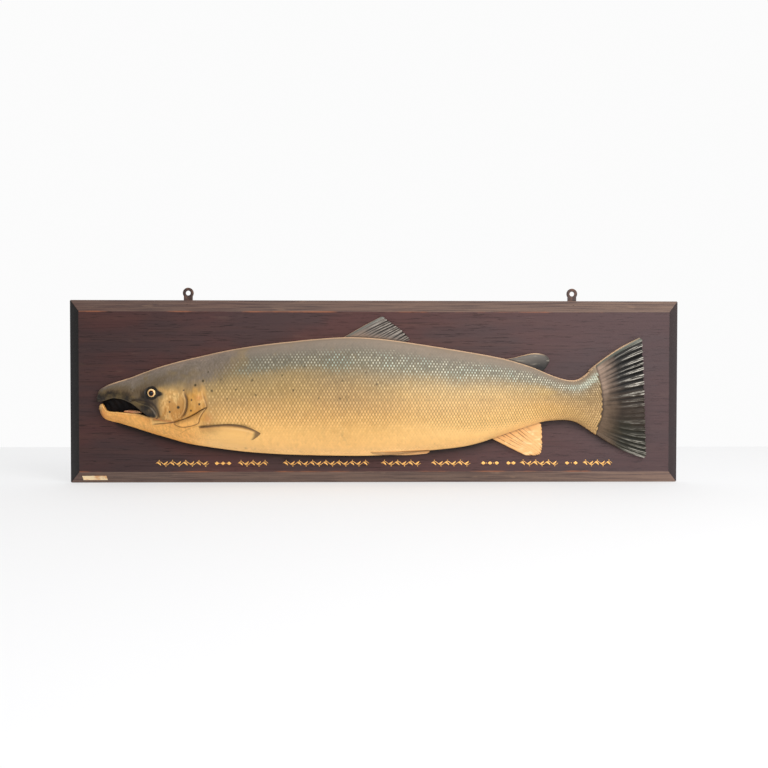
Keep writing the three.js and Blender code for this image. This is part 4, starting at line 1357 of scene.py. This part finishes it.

# %% [markdown]
# ### Paint of the fins
# The tail is nearly black between its rays, brown at the root, with dry grey strokes along the ray tops
# towards the free edge and a smooth grey-green leading border; the dark grooves are partly painted shade and
# the strokes on the ray tops partly painted highlight. The back fin and the fat fin are a lighter smoky grey,
# the fat fin with a painted shadow towards its root and rear. A buff line along the leading edges is partly a
# painted highlight. The pale fins are the belly's warm cream, the belly fin with a painted shadow along its
# edges. On the vent fin short brown strokes mark the rays near the root and the notched edge. The breast fin
# wears the flesh's own finish, with a painted shadow along its upper edge and a dark tip. Where a fin comes
# out from under the body a painted shadow darkens it. The tail's strokes come from noise that is drawn out
# along the rays.


# %% Dark fin paint
def smoky_paint(name, webs, roots, groove, stroke, border, border_at):
    """Dark fins: light dry strokes on the rays and dark grooves, partly painted highlight and shade, a smooth
    border and a buff leading line.
    """
    finish = Finish(name, Specular_IOR_Level=0.14)
    reach, ray, side, bold = (finish.mask(mask) for mask in ("reach", "ray", "side", "bold"))
    patchy, fine = finish.noise(26, 3), finish.noise(260, 2)
    drawn = finish.node("ShaderNodeCombineXYZ", {}, {"X": side * 26, "Y": reach * 2.5}, "Vector")
    inputs = {"Vector": drawn, "Scale": 2, "Detail": 4, "Roughness": 0.6}
    hatch = finish.node("ShaderNodeTexNoise", {}, inputs, "Fac")
    lobe = side + (patchy - 0.5) * 0.2
    web = finish.layers(webs[0], (webs[1], lobe.ramp(0.28, 0.50)), (webs[2], lobe.ramp(0.62, 0.82)))
    root = finish.mix(roots[0], roots[1], lobe.ramp(0.25, 0.60))
    color = finish.mix(root, web, (reach + (patchy - 0.5) * 0.5).ramp(0.10, 0.55))
    color = finish.scaled(color, 0.45 + 1.1 * hatch)
    cut = (1 - ray).ramp(0.25, 0.85) * bold.ramp(0.2, 0.9)
    dry = (ray + reach.ramp(0.55, 0.8) * 0.14).ramp(0.79, 0.95)
    dry = dry * (reach + (patchy - 0.5) * 0.6).ramp(0.30, 0.95) * bold.ramp(0.25, 0.9)
    # Grooves darkened partly as painted shade, ray-top strokes partly painted highlight, a painted shadow
    # where the fin leaves the body, and a buff leading line partly painted highlight.
    color = finish.layers(
        color,
        (groove, cut * (0.2 + 0.75 * (reach + (hatch - 0.5) * 0.3).ramp(0.1, 0.6))),
        (stroke, dry * (0.12 + 0.88 * hatch.ramp(0.38, 0.6))),
        (border, (side + (patchy - 0.5) * 0.04).ramp(border_at, border_at * 0.5) * 0.8),
        (CUT_BROWN_AND_SHADE, finish.mask("tuck") * 0.6),
        (RIM_BUFF_AND_HIGHLIGHT, side.ramp(0.024, 0.004) * (1 - reach.ramp(0.5, 1.0) * 0.6) * 0.8))
    return finish.done(finish.scaled(color, 0.9 + 0.2 * fine), 0.40 + 0.16 * patchy, fine + patchy, 0.0003)


# %% Fat fin and pale fin paints
def fat_fin_paint():
    """The fat fin: dark grey, with painted shadow to its root and rear, fine light streaks and a buff line
    over its top.
    """
    finish = Finish("painted_fat_fin", Specular_IOR_Level=0.2)
    reach, side = finish.mask("reach"), finish.mask("side")
    streak, patchy = finish.noise(170, 3, (0.18, 1, 1)), finish.noise(40, 3)
    shadow = (1 - reach).ramp(0.2, 1.0) * 0.55 + side.ramp(0.35, 0.9) * 0.95 + (patchy - 0.5) * 0.4
    # Painted shadow towards the root and rear and where the fin leaves the body; the buff top line is partly
    # a painted highlight.
    color = finish.layers(
        paint(104, 97, 90),
        (paint(30, 29, 28), shadow),
        (paint(150, 142, 128), streak.ramp(0.54, 0.70) * shadow.ramp(1.0, 0.5) * 0.85),
        (CUT_BROWN_AND_SHADE, finish.mask("tuck") * 0.6),
        (RIM_BUFF_AND_HIGHLIGHT, reach.ramp(0.90, 0.97) * side.ramp(0.62, 0.36) * 0.85))
    return finish.done(color, 0.38 + 0.2 * streak, streak, 0.0003)


def cream_paint(name, near, far, dark, dark_share):
    """Pale fins: belly cream, with brown where dark_share(finish, patchy) says, and painted shadow where they
    leave the body.
    """
    finish = Finish(name, Coat_Weight=0.05, Coat_Roughness=0.3, Specular_IOR_Level=0.35)
    patchy, fine = finish.noise(26, 3), finish.noise(260, 2, (0.3, 1, 1))
    color = finish.layers(
        near,
        (far, (finish.mask("reach") + (patchy - 0.5) * 0.5).ramp(0.1, 0.6)),
        (paint(252, 216, 160), finish.noise(130, 3, (0.4, 1, 1)).ramp(0.5, 0.68) * 0.5),
        (dark, dark_share(finish, patchy)),
        # A painted shadow where the fin leaves the body.
        (CUT_BROWN_AND_SHADE, finish.mask("tuck") * 0.3))
    return finish.done(finish.scaled(color, 0.92 + 0.16 * fine), 0.40 + 0.14 * patchy, fine + patchy, 0.0002)


def vent_strokes(finish, patchy):
    reach, ray = finish.mask("reach"), finish.mask("ray")
    near_root = (reach + (patchy - 0.5) * 0.5).ramp(0.75, 0.35) * finish.mask("side").ramp(0.8, 0.5)
    broken = finish.noise(90, 3).ramp(0.28, 0.50)
    return (1 - ray).ramp(0.50, 0.92) * (near_root * broken + reach.ramp(0.9, 0.97) * 0.8)


def lower_shadow(finish, _):
    side = finish.mask("side")
    return side.ramp(0.3, 0.05) * 0.40 + side.ramp(0.75, 1.0) * 0.4

# %% Finish the fins
tail_dark = smoky_paint(
    "painted_tail", pots((40, 37, 35), (50, 40, 32), (37, 35, 25)), pots((142, 120, 104), (98, 80, 64)),
    *pots((15, 14, 13), (190, 184, 172), (82, 86, 77)), 0.075)
back_grey = smoky_paint(
    "painted_back_fin", pots((112, 104, 97)) * 3, pots((132, 113, 98)) * 2,
    *pots((38, 36, 35), (176, 168, 158), (94, 96, 90)), 0.13)
vent_cream = cream_paint(
    "painted_vent_fin", *pots((222, 164, 98), (228, 174, 112), (120, 74, 38)), vent_strokes)
belly_cream = cream_paint(
    "painted_belly_fin", *pots((236, 182, 116), (224, 172, 112), (110, 72, 42)), lower_shadow)
FIN_FINISHES = {
    "caudal_fin": (tail_dark, "painted_dark_fin"), "dorsal_fin": (back_grey, "painted_dark_fin"),
    "adipose_fin": (fat_fin_paint(), "painted_dark_fin"), "anal_fin": (vent_cream, "painted_pale_fin"),
    "pectoral_fin": (flesh, "painted_pale_fin"), "pelvic_fin": (belly_cream, "painted_pale_fin"),
}
for name, (finish, slot) in FIN_FINISHES.items():
    fins[name].name = fins[name].data.name = f"carved_{name}"
    finished(fins[name], finish, [name])

# %% [markdown]
# ## The eye, the mouth and the tongue
# The eye is a low polished dome set in the carved ring: black pupil, a thin rust line, a cream ring and a
# dark outer line, each painted by its distance. The pupil is taller than wide and sits a little off the
# middle, so it has a distance of its own, and so has the small glint on it. The mouth is stopped by a dark
# hollowed slip of wood, with the ridges of the palate just told, and the tongue is a small rounded slip in
# the lower jaw.

# %% Eye
EYE_CENTRE_HEIGHT = 43.1
EYE_RISE = 5.4
EYE_SUNK = 2.5  # how much of the ball is left behind its middle
deselect()
bpy.ops.mesh.primitive_uv_sphere_add(segments=64, ring_count=32, radius=1)
eye = named("eye_dome")
ball = read_points(eye)
middle = (EYE[0], EYE_CENTRE_HEIGHT, EYE[1])
write_points(eye, in_scene(middle + ball[:, [0, 2, 1]] * (EYE_RADIUS, EYE_RISE, EYE_RADIUS)))
cut_place = (0, (FISH_BACK - EYE_CENTRE_HEIGHT + EYE_SUNK) * MM, 0)
with editing("SELECT"):
    bpy.ops.mesh.bisect(plane_co=cut_place, plane_no=(0, 1, 0), clear_outer=True, use_fill=True)
    face_outwards()

# %% Enamel of the eye
enamel = Finish("eye_enamel", Specular_IOR_Level=0.22)
east, north = enamel.axis("X") - EYE[0] * MM, enamel.axis("Z") - EYE[1] * MM
outer = east.hypot(north) + (enamel.noise(180, 2) - 0.5) * 0.0012
pupil = (east + 0.0003).hypot((north + 0.0005) * 0.88) + (enamel.noise(210, 2) - 0.5) * 0.0020
glint = (east - 0.0002).hypot(north - 0.0012)
iris = enamel.layers(
    paint(248, 214, 152),
    (paint(222, 168, 100), enamel.noise(240, 2).ramp(0.35, 0.7) * 0.6),
    (paint(150, 82, 40), pupil.ramp(0.0060, 0.0046)),
    (paint(70, 44, 30), outer.ramp(0.0075, 0.0084)),
    (paint(14, 12, 13), pupil.ramp(0.0047, 0.0040)),
    (paint(120, 136, 150), glint.ramp(0.0009, 0.0003) * 0.7))
finished(eye, enamel.done(iris, 0.16), ["eye"])


# %% Mouth
MOUTH_FRONT, MOUTH_CORNER = -549, -443


def mouth_place(along, up):
    """A slip dished between the lips, ridged like a palate."""
    x = MOUTH_FRONT + along * (MOUTH_CORNER - MOUTH_FRONT)
    low = np.interp(x, *lower_lip.dense.T) - 1.5
    high = np.interp(x, *upper_lip.dense.T) + 1.5
    z = low + (high - low) * up
    rim = np.minimum(up, 1 - up) * (high - low)
    dish = 8.0 + 7.0 * np.exp(-rim / 4.5) + 0.5 * np.sin(x / 2.1 + z / 3.0) * ease(rim, 2, 8)
    return np.stack([x, np.minimum(dish, flank_height(x, z) - 3), z], -1)


lining = carved_form("mouth_hollow", 120, 36, mouth_place, 0)
mouth_dark = Finish("painted_mouth", Specular_IOR_Level=0.15)
damp = mouth_dark.noise(60, 3)
darkness = mouth_dark.mix(*pots((14, 10, 10), (30, 19, 15)), damp.ramp(0.45, 0.75) * 0.6)
finished(lining, mouth_dark.done(darkness, 0.6, damp, 0.0006), ["mouth_lining"])

# %% Tongue
TONGUE = {"start": -504.0, "end": -468.0, "z": -38.6, "half_width": 3.0, "height": 26.0}


def tongue_place(along, over):
    """A narrow slip, round at its ends and lower at its sides."""
    x = TONGUE["start"] + along * (TONGUE["end"] - TONGUE["start"])
    side = 2 * over - 1
    half = TONGUE["half_width"] * np.sqrt(np.clip(1 - (2 * along - 1) ** 2 * 0.9, 0, 1))
    crown = TONGUE["height"] - 4.0 * (1 - along) ** 2 - 2.6 * side**4 + 0.35 * np.abs(side)
    return np.stack([x, crown, TONGUE["z"] - 2.0 * along + side * half], -1)


tongue = carved_form("tongue_slip", 40, 14, tongue_place, 9)
tongue_pink = Finish("painted_tongue")
brushed = tongue_pink.noise(90, 3, (0.4, 1, 1))
pink = tongue_pink.mix(*pots((216, 142, 98), (238, 180, 132)), brushed.ramp(0.35, 0.65))
finished(tongue, tongue_pink.done(pink, 0.4, brushed, 0.0002), ["tongue"])

# %% [markdown]
# ## The board
# The board is one oak plank with a wide chamfer round its face. It keeps its CAD shape, pockets and screw
# holes included, but a real chamfer has worn arrises that catch the light. So a copy of the CAD mesh is
# merged into whole faces, its long edges are picked by their angle, and a small round bevel is run along
# them.

# %% Shape the board
ARRIS = 0.9  # millimetres
LONG_EDGE = 0.1  # metres; shorter edges belong to holes and pockets


def merged_copy(name, node):
    """A copy of a CAD node as one connected form, its loose triangles joined and its flat faces whole."""
    form = bpy.data.objects.new(name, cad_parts[node].data.copy())
    bpy.context.collection.objects.link(form)
    pick(form)
    with editing("SELECT"):
        bpy.ops.mesh.select_mode(type="VERT")
        bpy.ops.mesh.remove_doubles(threshold=1e-6)
        bpy.ops.mesh.dissolve_limited(angle_limit=math.radians(1))
    return form


board = merged_copy("oak_board", "board")
with editing("DESELECT"):
    bpy.ops.mesh.select_mode(type="EDGE")
    bpy.ops.mesh.edges_select_sharp(sharpness=math.radians(30))
for edge in board.data.edges:
    start, end = (board.data.vertices[i].co for i in edge.vertices)
    edge.select = edge.select and (start - end).length > LONG_EDGE
with editing():
    bpy.ops.mesh.bevel(offset=ARRIS * MM, segments=3, affect="EDGES", clamp_overlap=True)
print("board:", len(board.data.polygons), "faces")

# %% [markdown]
# ### Dark stained oak
# Oak shows long straight grain, short open pores that take up more stain, and pale flecks where the saw meets
# the rays. The plank lies with its grain along the fish, so every pattern is drawn out along x. End grain
# drinks stain: the two short chamfers are nearly black, the right one a little less as painted light. The
# long chamfers were planed across the rays and have faded to grey-brown; they are also painted lighter
# towards the right and on the lower chamfer, most at its right end, as painted light. The arrises are rubbed
# through to a red-brown here and there. The face is painted greyer to the right as a painted sheen and darker
# at the left end as painted shade, and a shadow is painted into the stain under the fish's belly. The back
# was only washed over.

# %% Stain and painted shadow
FACE_HALF = (0.6005, 0.1625)  # half the flat face, along and up
BELLY_SPAN = 1.25
BELLY_DEPTH = 0.2


def belly_stops():
    """The belly line as stops of a grey ramp along the board: 1 at z 0, and 0 at BELLY_DEPTH under it."""
    places = np.linspace(-560, 466, 28)
    greys = 1 + belly_at(places) * MM / BELLY_DEPTH
    return [(x * MM / BELLY_SPAN + 0.5, (g, g, g, 1)) for x, g in zip(places, greys)]


def stained_and_lit_face(finish, x, clouds, streaks, grain, pores, rays):
    """Dark face: two tones of stain with its grain, with a painted sheen to the right and painted shade at
    the left end.
    """
    color = finish.layers(
        paint(78, 49, 47),
        (paint(66, 48, 48), clouds.ramp(0.40, 0.62)),
        (paint(88, 58, 51), streaks.ramp(0.45, 0.75) * 0.45),
        (paint(44, 29, 27), grain.ramp(0.50, 0.74) * 0.6),
        (paint(26, 18, 17), pores * 0.6),
        (paint(104, 80, 70), rays * 0.25),
        # Greyer towards the right: a painted sheen.
        (paint(76, 64, 66), x.ramp(0.0, 0.6) * 0.55))
    # Darker towards the left end: painted shade.
    return finish.scaled(color, 0.76 + 0.24 * x.ramp(-0.62, -0.25))


def painted_belly_shadow(finish, x, y, z, clouds):
    """A shadow painted under the fish's belly, on the front of the board only."""
    belly = finish.graded(belly_stops(), x / BELLY_SPAN + 0.5) * BELLY_DEPTH - BELLY_DEPTH
    below = (belly - z) + (clouds - 0.5) * 0.004
    contact_shadow = below.ramp(0.013, 0.0) * 0.6 + below.ramp(0.028, 0.0) * 0.4
    kept_to = z.ramp(0.01, -0.03) * x.absolute().ramp(0.58, 0.50) * y.ramp(-0.022, -0.026)
    return 0.92 * contact_shadow * kept_to * (1 - x.ramp(0.2, 0.5) * 0.5)


# %% Oak finish
def oak_paint():
    """The face, the long chamfers (faded stain and painted light), the black ends, the worn arrises and the
    plain back.
    """
    finish = Finish("stained_oak", Specular_IOR_Level=0.21)
    x, y, z = finish.axis("X"), finish.axis("Y"), finish.axis("Z")
    clouds = finish.noise(7, 4, (0.55, 1, 1.4))
    grain = finish.noise(300, 5, (0.03, 1, 1), 0.65)
    streaks = finish.noise(70, 3, (0.03, 1, 1))
    pores = finish.noise(520, 2, (0.06, 1, 1)).ramp(0.60, 0.70)
    rays = finish.noise(85, 3, (0.22, 1, 0.8)).ramp(0.62, 0.76)
    color = stained_and_lit_face(finish, x, clouds, streaks, grain, pores, rays)
    # A shadow painted under the fish's belly darkens the stain there.
    color = finish.scaled(color, 1 - painted_belly_shadow(finish, x, y, z, clouds))

    front = y.ramp(-0.0004, -0.0016)
    end_grain = x.absolute().ramp(FACE_HALF[0] - 0.0004, FACE_HALF[0] + 0.0008) * front
    long_edge = z.absolute().ramp(FACE_HALF[1] - 0.0004, FACE_HALF[1] + 0.0008) * (1 - end_grain) * front
    mitre = (x.absolute() - FACE_HALF[0] - z.absolute() + FACE_HALF[1]).ramp(-0.0012, 0.0012)
    # The lower chamfer is painted lighter towards its right end, as painted light.
    lit_lower_right = x.ramp(0.2, 0.6) * z.ramp(0.01, -0.01)
    faded = finish.mix(paint(118, 96, 84), paint(84, 68, 64), grain.ramp(0.4, 0.66))
    faded = finish.mix(faded, paint(146, 118, 98), rays * 0.5)
    # The long chamfers are lighter partly as faded stain and partly as painted light, more towards the right
    # and on the lower chamfer.
    faded_and_lit_share = 0.38 + 0.3 * clouds + 0.5 * x.ramp(-0.7, 0.7)
    faded_and_lit_share += 0.20 * z.ramp(0.01, -0.01) + 0.35 * lit_lower_right
    near_arris = (z.absolute() - FACE_HALF[1]).absolute().ramp(0.0022, 0.0002) * (1 - end_grain) * front
    worn = finish.noise(17, 4, (0.5, 1, 1)).ramp(0.48, 0.66)
    color = finish.layers(
        color,
        (paint(98, 78, 62), y.ramp(-0.003, -0.0008) * (0.3 + 0.5 * clouds)),
        (finish.scaled(faded, 1 + 0.4 * lit_lower_right), (long_edge + end_grain * (1 - mitre)) * faded_and_lit_share),
        # Dark end grain, a little lighter towards the right end as painted light.
        (paint(14, 10, 9), end_grain * mitre * (0.97 - 0.3 * x.ramp(-0.2, 0.5))),
        (paint(150, 92, 62), near_arris * worn * 0.8))
    color = finish.scaled(color, 0.9 + 0.22 * finish.noise(900, 2, (0.25, 1, 1)))
    relief = grain * 0.6 - pores * 0.9 + streaks * 0.3
    return finish.done(color, 0.40 + 0.22 * grain, relief, 0.0005, 0.55)


finished(board, oak_paint(), ["board"], 15)

# %% [markdown]
# ## The hanging plates and the screws
# Each hanger is a strip of sheet iron let into the board's back, with a ring standing above the top edge. It
# is cut from its outline, bored and softened along every edge with a small bevel. A screw is turned: a disc
# is extruded and resized ring by ring along its profile, and the slot is cut into its head.

# %% Sizes of the iron
BOARD_TOP = 187.0
HANGERS = {"left": -385.0, "right": 406.0}
HANGER = {"ring": 11, "hole": 5, "ring_up": 15, "foot_down": 42, "half": 9, "corner": 5, "thick": 2.5}
HANGER_SCREW = {"head": 3.6, "shank": 1.7, "length": 15.0, "sink": 2.0, "drops": (11, 30)}
FIXING_SCREW = {"head": 5.2, "shank": 2.4, "length": 46.0, "sink": 3.0}
FIXING_PLACES = [(-300, -22), (-90, -8), (140, -12), (372, -16)]


# %% Turned and softened forms
def turned(name, place, profile, facets=32):
    """A form turned round an axis through the board: profile lists (radius, y) from one end to the other."""
    deselect()
    centre = (place[0] * MM, profile[0][1] * MM, place[1] * MM)
    bpy.ops.mesh.primitive_circle_add(
        vertices=facets, radius=profile[0][0] * MM, fill_type="NGON", location=centre,
        rotation=(math.pi / 2, 0, 0))
    form = named(name)
    bpy.ops.object.transform_apply(location=True, rotation=True, scale=True)
    with editing("SELECT"):
        for (before, start), (radius, end) in zip(profile[:-1], profile[1:]):
            bpy.ops.mesh.extrude_region_move(TRANSFORM_OT_translate={"value": (0, (end - start) * MM, 0)})
            share = radius / before
            bpy.ops.transform.resize(value=(share, 1, share), center_override=(centre[0], 0, centre[2]))
        face_outwards()
    return form


def softened(form, width):
    """Rounds every sharp edge a little."""
    bevel = form.modifiers.new("soft_edges", "BEVEL")
    bevel.width, bevel.segments, bevel.limit_method = width * MM, 2, "ANGLE"
    bevel.angle_limit = math.radians(35)
    applied(form, bevel)
    return form


def off_board(y):
    """The height above the fish's back plane of a y place in millimetres."""
    return FISH_BACK - y


# %% Screws and hanging plates
def screw_profile(kind, grown=0.0):
    """Shank and countersunk head; grown makes it a bore with some play."""
    head, shank = kind["head"] + grown, kind["shank"] + grown
    end = 0.3 if grown else 0.0
    return [(shank, -kind["length"] - grown), (shank, -kind["sink"] - 1 - grown), (head, -0.4), (head, end)]


def slotted_screw(name, place, kind):
    form = turned(name, place, screw_profile(kind))
    half, slot = kind["head"] * 1.2, 0.45
    corners = [(-half, -slot), (half, -slot), (half, slot), (-half, slot)]
    outline = [(place[0] + x, place[1] + z) for x, z in corners]
    cut_away(form, prism("slot", outline, off_board(0.4), off_board(-0.9)))
    return form


def arc(x, z, radius, start, end, steps):
    angles = np.linspace(start, end, steps)
    return [(x + radius * math.cos(a), z + radius * math.sin(a)) for a in angles]


def hanging_plate(name, x):
    """A strip with round corners at its foot and a ring at its head, bored for its ring and screws."""
    ring, corner = HANGER["ring"], HANGER["corner"]
    join = math.acos(HANGER["half"] / ring)
    ring_z, foot = BOARD_TOP + HANGER["ring_up"], BOARD_TOP - HANGER["foot_down"] + corner
    outline = arc(x, ring_z, ring, -join, math.pi + join, 49)
    for side, start in ((-1, math.pi), (1, 1.5 * math.pi)):
        outline += arc(x + side * (HANGER["half"] - corner), foot, corner, start, start + math.pi / 2, 9)
    plate = prism(name, outline, off_board(0), off_board(-HANGER["thick"]))
    hole = arc(x, ring_z, HANGER["hole"], 0, 2 * math.pi, 33)[:-1]
    cut_away(plate, prism("eye", hole, off_board(1), off_board(-4)))
    for drop in HANGER_SCREW["drops"]:
        cut_away(plate, turned("bore", (x, BOARD_TOP - drop), screw_profile(HANGER_SCREW, 0.3)))
    return softened(plate, 0.35)


# %% Iron finish, and all the iron pieces
def iron_paint():
    """Old iron: near-black, browned with rust, more metallic where the rust is thin, with fine dark flecks.
    """
    finish = Finish("dark_iron", Specular_IOR_Level=0.5)
    rust, fine = finish.noise(120, 4), finish.noise(700, 2)
    color = finish.layers(
        paint(62, 46, 42), (paint(98, 66, 50), rust.ramp(0.42, 0.68)),
        (paint(44, 36, 34), fine.ramp(0.5, 0.72) * 0.7))
    finish.set("Metallic", 0.35 - 0.25 * rust)
    return finish.done(color, 0.42 + 0.3 * rust, rust + 0.5 * fine, 0.0004, 0.6)


iron = iron_paint()
for side, x in HANGERS.items():
    finished(hanging_plate(f"iron_hanger_{side}", x), iron, [f"hanger_{side}"], 30)
    for number, drop in enumerate(HANGER_SCREW["drops"], 1):
        node = f"hanger_screw_{side}_{number}"
        piece = slotted_screw(f"iron_{node}", (x, BOARD_TOP - drop), HANGER_SCREW)
        finished(piece, iron, [node], 30)
for number, place in enumerate(FIXING_PLACES, 1):
    piece = slotted_screw(f"iron_fixing_screw_{number}", place, FIXING_SCREW)
    finished(piece, iron, [f"fixing_screw_{number}"], 30)

# %% [markdown]
# ## The label
# A small plate of ivorine, an early plastic made to look like ivory, is pinned to the lower chamfer near the
# left corner. It is a thin slab with softened edges and a shallow sunk panel, tilted as the chamfer is. It
# carries no words. Two brass pins with domed heads hold it.

# %% Label and pins
CHAMFER = (22, 24.5)  # depth and width
LABEL_SHARE = 0.54  # how far down the chamfer its middle sits
LABEL_TILT = math.atan2(*CHAMFER)
LABEL_PLACE = MM * Vector((
    -572.5, -28 + CHAMFER[0] * LABEL_SHARE, -BOARD_TOP + CHAMFER[1] * (1 - LABEL_SHARE)))
LABEL_SIZE = (49.0, 0.8, 12.6)
LABEL_LIFT = 0.3  # the chamfer's surface to the label's back


def onto_chamfer(form):
    """Turns and moves a form made round the origin to its place on the lower chamfer."""
    pick(form)
    form.rotation_euler.x = LABEL_TILT
    form.location = LABEL_PLACE
    bpy.ops.object.transform_apply(location=True, rotation=True, scale=True)
    return form


deselect()
bpy.ops.mesh.primitive_cube_add(size=1, location=(0, -(LABEL_LIFT + LABEL_SIZE[1] / 2) * MM, 0))
label = named("ivorine_label")
label.scale = Vector(LABEL_SIZE) * MM
bpy.ops.object.transform_apply(location=True, rotation=True, scale=True)
with editing("DESELECT"):
    bpy.ops.mesh.select_mode(type="FACE")
for face in label.data.polygons:
    face.select = face.normal.y < -0.5
with editing():
    bpy.ops.mesh.inset(thickness=0.9 * MM)
    bpy.ops.mesh.inset(thickness=0.25 * MM, depth=-0.12 * MM)
softened(label, 0.18)

# %% The label's finish
ivorine = Finish("ivorine", Coat_Weight=0.3, Coat_Roughness=0.2)
stain, haze = ivorine.noise(55, 4), ivorine.noise(600, 2, (0.2, 1, 1))
yellowed = ivorine.layers(
    paint(240, 214, 168), (paint(214, 160, 108), stain.ramp(0.42, 0.66)),
    (paint(250, 236, 206), haze.ramp(0.55, 0.75) * 0.5))
ivorine_paint = ivorine.done(yellowed, 0.26 + 0.2 * stain, haze, 0.0001, 0.4)
finished(onto_chamfer(label), ivorine_paint, ["label_plate"], 30)

# %% [markdown]
# ## Gilt and brass
# Under the fish the real board carries a line of hand lettering in gold paint. This one carries a painter's
# running ornament in its place: vine scrolls, leaves, lozenges and dots, in groups of the same length and
# height. Each mark is a brush stroke, a thin swelling ribbon a fifth of a millimetre thick: one function
# lays a grid along a curve and widens it by a profile.

# %% Gilt finish
BRUSH_RISE = 0.22
GROUND_LEVEL = off_board(-28.0)
BAND_MIDDLE = -145.4
REPEAT = 14  # a turn of the vine or a lozenge to every so many millimetres
VINE_RISE, LOZENGE_RISE = 7.0, 5.4


def gilt_paint():
    """Gold paint, rubbed through to the brown under it here and there."""
    finish = Finish("gilt", Specular_IOR_Level=0.5)
    rubbed, fine = finish.noise(210, 3), finish.noise(900, 2)
    color = finish.layers(
        paint(250, 196, 108), (paint(222, 154, 78), fine.ramp(0.4, 0.65)),
        (paint(120, 78, 48), rubbed.ramp(0.62, 0.76) * 0.7))
    finish.set("Metallic", 0.25 + 0.2 * fine)
    return finish.done(color, 0.32 + 0.2 * rubbed, fine, 0.0002)


gilt = gilt_paint()

# %% Two brass pins
for side, along in (("left", -22.0), ("right", 22.0)):
    head_at = -LABEL_LIFT - LABEL_SIZE[1]
    profile = [(0.8, head_at + 4.5), (0.8, head_at - 0.30), (0.62, head_at - 0.42), (0.3, head_at - 0.5)]
    pin = onto_chamfer(turned(f"brass_pin_{side}", (along, 0), profile, 16))
    finished(pin, gilt, [f"label_pin_{side}"], 30)


# %% Brush strokes
def stroke(points, half_width, columns):
    """One brush stroke along a smooth curve; half_width(t) is its half width in millimetres."""
    knots = np.array(points, float)

    def place(along, over):
        here = spline(knots, along)
        ahead = spline(knots, np.clip(along + 0.01, 0, 1)) - spline(knots, np.clip(along - 0.01, 0, 1))
        ahead /= np.linalg.norm(ahead, axis=1)[:, None]
        side = np.stack([-ahead[:, 1], ahead[:, 0]], 1)
        offset = 2 * over - 1
        point = here + side * (offset * half_width(along))[:, None]
        return np.stack([point[:, 0], GROUND_LEVEL + BRUSH_RISE * (1.05 - 0.8 * offset**2), point[:, 1]], -1)

    return carved_form("stroke", columns, 3, place, GROUND_LEVEL - 0.05)


# %% Vine and lozenges
def leaf_width(t):
    return 0.12 + 1.5 * np.sin(np.pi * t) ** 0.9 * (1.15 - 0.5 * t)


def round_width(t):
    return 0.95 * np.sqrt(np.clip(1 - (2 * t - 1) ** 2, 0.02, 1))


def dot(x, z):
    return stroke([(x - 0.9, z), (x + 0.9, z)], round_width, 6)


def vine(start, end, middle, rise):
    """A waving stem with a leaf tucked into every hollow and a berry over it."""
    turns = max(2, round((end - start) / REPEAT))
    pitch, sway = (end - start - 4) / turns, 0.5 * rise
    stem = [
        (start + 2 + pitch * turns * a, middle + sway * math.sin(math.pi * turns * a))
        for a in np.linspace(0, 1, turns * 4 + 1)]
    strokes = [stroke(stem, lambda t: 0.40 + 0.22 * np.sin(np.pi * t), turns * 8)]
    for k in range(turns):
        x, up = start + 2 + pitch * (k + 0.5), -1 if k % 2 else 1
        leaf = [
            (x - 0.36 * pitch, middle + 0.40 * up * sway), (x + 0.02 * pitch, middle - 0.05 * up * rise),
            (x + 0.26 * pitch, middle - 0.62 * up * rise)]
        strokes += [stroke(leaf, leaf_width, 10), dot(x, middle + up * (sway + 2.3))]
    return strokes


def lozenges(start, end, middle, rise):
    """A row of lozenges with a dot between each two."""
    count = max(1, round((end - start) / REPEAT))
    pitch = (end - start) / count
    strokes = []
    for k in range(count):
        x = start + pitch * (k + 0.5)
        tips = [(x - 4.3, middle), (x + 4.3, middle)]
        strokes.append(stroke(tips, lambda t: 0.1 + rise * 0.62 * (1 - np.abs(2 * t - 1)), 8))
        if k:
            strokes.append(dot(x - pitch / 2, middle))
    return strokes


# %% Gilt ornament
ORNAMENT = [
    (vine, -448, -337), (lozenges, -329, -292), (vine, -282, -217), (vine, -191, -12), (vine, 9, 94),
    (vine, 111, 195), (lozenges, 213, 254), (lozenges, 266, 287), (vine, 293, 375), (lozenges, 383, 418),
    (vine, 422, 486),
]
strokes = []
for draw, start, end in ORNAMENT:
    strokes += draw(start, end, BAND_MIDDLE, VINE_RISE if draw is vine else LOZENGE_RISE)
pick(strokes[0])
for mark in strokes:
    mark.select_set(True)
bpy.ops.object.join()
ornament = named("gilt_ornament")
for mask in ("side", "reach"):
    ornament.data.attributes.remove(ornament.data.attributes[mask])
finished(ornament, gilt, (), 60)
print("strokes:", len(strokes))
